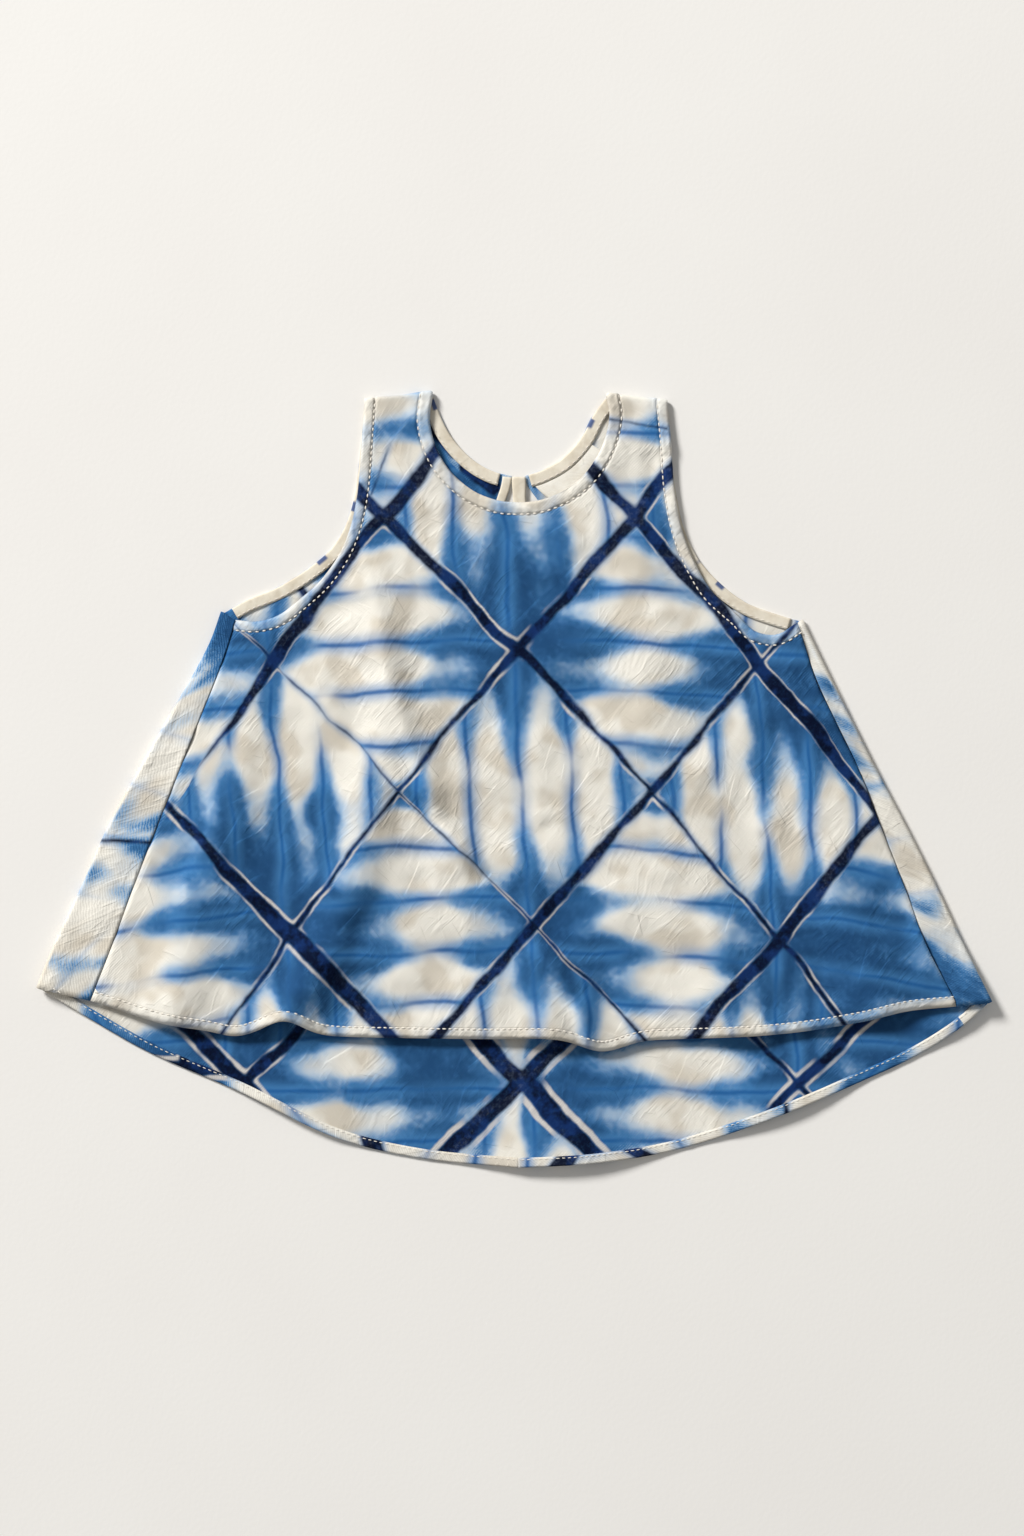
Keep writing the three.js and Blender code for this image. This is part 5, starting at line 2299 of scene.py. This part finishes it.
class Surface:
    """The upper face of finished pieces, for laying stitches on."""

    def __init__(self, *pieces: Piece) -> None:
        """Read the pieces.

        Args:
            pieces: sheets with a wall of even thickness about their middle.
        """
        self.layers = []
        for piece in pieces:
            corners = [v.co for v in piece.data.vertices]
            faces = [tuple(p.vertices) for p in piece.data.polygons]
            half = piece.modifiers["wall"].thickness / 2
            self.layers.append((BVHTree.FromPolygons(corners, faces), half))

    def height(self, x: float, y: float) -> float:
        """Find the topmost face at a place, all in metres.

        Args:
            x: the place across the top.
            y: the place along it.

        Returns:
            The face's height, or 0 beside the pieces.
        """
        start = Vector((x, y, 0.1))
        tops = []
        for tree, half in self.layers:
            hit = tree.ray_cast(start, Vector((0.0, 0.0, -1.0)))[0]
            if hit is not None:
                tops.append(hit.z + half)
        return max(tops, default=0.0)


@dataclass
class StitchRow:
    """A row of topstitches."""

    name: str
    length: float = 2.2
    width: float = 0.8
    height: float = 0.6
    lift: float = 0.2  # the share of its height that its middle lies above the cloth

    def build(self, rows: Sequence[tuple[Array, Array]], surface: Surface, material: Material) -> Piece:
        """Make the stitches as one mesh.

        Args:
            rows: the places and directions of each run of stitches.
            surface: what they lie on.
            material: the thread.

        Returns:
            The piece.
        """
        chance = random.Random(len(self.name))
        bm = bmesh.new()
        for places, directions in rows:
            for place, way in zip(places, directions):
                turn = math.atan2(way[1], way[0]) + chance.uniform(-0.09, 0.09)
                size = (self.length * chance.uniform(0.86, 1.08) / 2, self.width / 2, self.height / 2)
                where = Vector((place[0] + CENTRING[0], place[1] + CENTRING[1], 0.0)) * METRE
                where.z = surface.height(where.x, where.y) + self.height * METRE * self.lift
                if where.z < OFF_CLOTH:
                    continue
                matrix = Matrix.Translation(where) @ Matrix.Rotation(turn, 4, "Z")
                matrix = matrix @ Matrix.Diagonal((*[s * METRE for s in size], 1.0))
                bmesh.ops.create_uvsphere(bm, u_segments=8, v_segments=5, radius=1.0, matrix=matrix)
        return make_piece(self.name, bm, material)


@dataclass
class Studio:
    """The plain floor, the soft light and the camera straight above."""

    picture_height: float = 0.78336  # what the picture spans, in metres
    middle: tuple[float, float] = (-0.00102, 0.00561)
    lens: float = 85.0
    floor_size: float = 3.0
    floor_light: str = "EFEDE9"
    floor_dark: str = "EBE8E4"
    sky: float = 0.33
    sky_colour: tuple[float, float, float, float] = (1.0, 1.0, 0.99, 1.0)
    key: float = 855.0
    key_place: tuple[float, float, float] = (-4.9, 4.9, 4.15)
    key_size: float = 2.1
    key_colour: tuple[float, float, float] = (1.0, 0.99, 0.972)

    def floor(self) -> None:
        """Add the pale floor."""
        material, g = new_material("pale floor")
        place = g.node("ShaderNodeTexCoord").outputs["Object"]
        tint = g.mix(g.noise(place, 7.0, 3.0, 0.5), srgb(self.floor_light), srgb(self.floor_dark))
        FLOOR_GLOSS.dress(g, tint, g.noise(place, 420.0, 4.0, 0.6))
        bm = bmesh.new()
        bmesh.ops.create_grid(bm, x_segments=2, y_segments=2, size=self.floor_size)
        make_piece("floor", bm, material)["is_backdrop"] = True

    def light(self) -> None:
        """Add the soft key light from the upper left, and the pale surroundings."""
        world = bpy.data.worlds.new("studio")
        world.use_nodes = True
        sky = world.node_tree.nodes["Background"]
        sky.inputs[0].default_value = self.sky_colour
        sky.inputs[1].default_value = self.sky
        bpy.context.scene.world = world
        lamp = bpy.data.lights.new("key", "AREA")
        lamp.shape = "DISK"
        lamp.size = self.key_size
        lamp.energy = self.key
        lamp.color = self.key_colour
        holder = bpy.data.objects.new("key", lamp)
        holder.location = self.key_place
        holder.rotation_euler = (-Vector(self.key_place)).to_track_quat("-Z", "Y").to_euler()
        bpy.context.scene.collection.objects.link(holder)
        bpy.context.scene.view_settings.view_transform = "Standard"

    def camera(self) -> None:
        """Add the camera, looking straight down as the photograph does."""
        data = bpy.data.cameras.new("camera")
        data.sensor_fit = "VERTICAL"
        data.sensor_height = 36.0
        data.lens = self.lens
        data.clip_end = 20.0
        holder = bpy.data.objects.new("camera", data)
        height = self.picture_height * self.lens / data.sensor_height
        holder.location = (*self.middle, height + 0.004)
        bpy.context.scene.collection.objects.link(holder)
        bpy.context.scene.camera = holder


def settle(piece: Piece, slot: str, *nodes: str) -> Piece:
    """Fix a piece in the frame.

    Args:
        piece: the object.
        slot: not used.
        nodes: the solids that it stands for.

    Returns:
        The piece.
    """
    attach(piece, "root")
    if nodes:
        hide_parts(*nodes)
    LOG.info("%s: %d faces", piece.name, len(piece.data.polygons))
    return piece


def edge_trims() -> list[EdgeTrim]:
    """Return the bands along the back's edges."""
    return [
        EdgeTrim("neck_facing_cloth_left", "neck_facing_left", Edge.NECK, Side.LEFT, 0.1, 0.985, 6.2),
        EdgeTrim("neck_facing_cloth_right", "neck_facing_right", Edge.NECK, Side.RIGHT, 0.035, 0.985, 6.2),
        EdgeTrim(
            "armhole_facing_cloth_left", "armhole_facing_left", Edge.ARMHOLE, Side.LEFT, 0.03, 0.98, 6.0
        ),
        EdgeTrim(
            "armhole_facing_cloth_right", "armhole_facing_right", Edge.ARMHOLE, Side.RIGHT, 0.03, 0.98, 6.0
        ),
        EdgeTrim("keyhole_binding_cloth", "keyhole_binding", Edge.KEYHOLE, Side.LEFT, 0.015, 0.985, 4.6),
    ]


def hem_trims() -> list[EdgeTrim]:
    """Return the two halves of the back's hem, turned up inside."""
    return [
        EdgeTrim(f"turned_hem_{s.value}", "", Edge.HEM, s, 0.0, 0.985, 4.9, inset=0.15, thickness=0.5)
        for s in Side
    ]


def label_trim() -> EdgeTrim:
    """Return the bare label, which hangs from under the right neck facing."""
    place = dict(inset=6.3, slant=0.1, rise=0.55, thickness=0.4)
    return EdgeTrim("label_cloth", "neck_label", Edge.NECK, Side.RIGHT, 0.06, 0.6, 13.0, **place)


def main() -> None:
    """Build the top, then the studio."""
    logging.basicConfig(level=logging.INFO, format="%(message)s")
    dyes, cloths = DyeGroups(), ClothGroups()
    front_cotton = DyedCotton("dyed cotton, front", FRONT_LATTICE).make(dyes, cloths)
    back_cotton = DyedCotton("dyed cotton, back", BACK_LATTICE).make(dyes, cloths)
    plain_cotton = PlainCotton("plain cotton").make(cloths)
    facing_cotton = PlainCotton("facing cotton", stain=0.9).make(cloths)
    label_cotton = PlainCotton("label cotton", "EFEBE1", "E2DBCD", 0.0009).make(cloths)
    thread = Thread().make()

    front = settle(FrontPanel().build(front_cotton), "dyed_cotton", "front_panel")
    back = settle(BackPanel().build(back_cotton), "dyed_cotton", "back_panel")
    hems = [settle(trim.build(back_cotton), "dyed_cotton") for trim in hem_trims()]
    facings = [settle(trim.build(facing_cotton), "plain_cotton", trim.node) for trim in edge_trims()]
    label = settle(label_trim().build(label_cotton), "label_cotton", "neck_label")
    tab = settle(KeyholeTab().build(plain_cotton), "plain_cotton", "keyhole_tab")

    front_rows = StitchRow("front_stitches").build(TopStitches.front_lines(), Surface(front), thread)
    facing_trims = [trim for trim in edge_trims() if trim.edge is not Edge.KEYHOLE]
    rows = [trim.stitch_line(trim.width - FACING_STITCHES) for trim in facing_trims]
    rows += [trim.stitch_line(trim.width - HEM_STITCHES) for trim in hem_trims()]
    fine = StitchRow("back_stitches", 2.0, 0.5, 0.4)
    back_rows = fine.build(rows, Surface(back, *hems, *facings), thread)
    settle(front_rows, "plain_cotton")
    settle(back_rows, "plain_cotton")

    studio = Studio()
    studio.floor()
    studio.light()
    studio.camera()
    boxes = {"cad": CAD_BOX, "visual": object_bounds()}
    plain = {key: [[float(v) for v in corner] for corner in box] for key, box in boxes.items()}
    LOG.info("boxes: %s", plain)


if __name__ == "__main__":
    main()
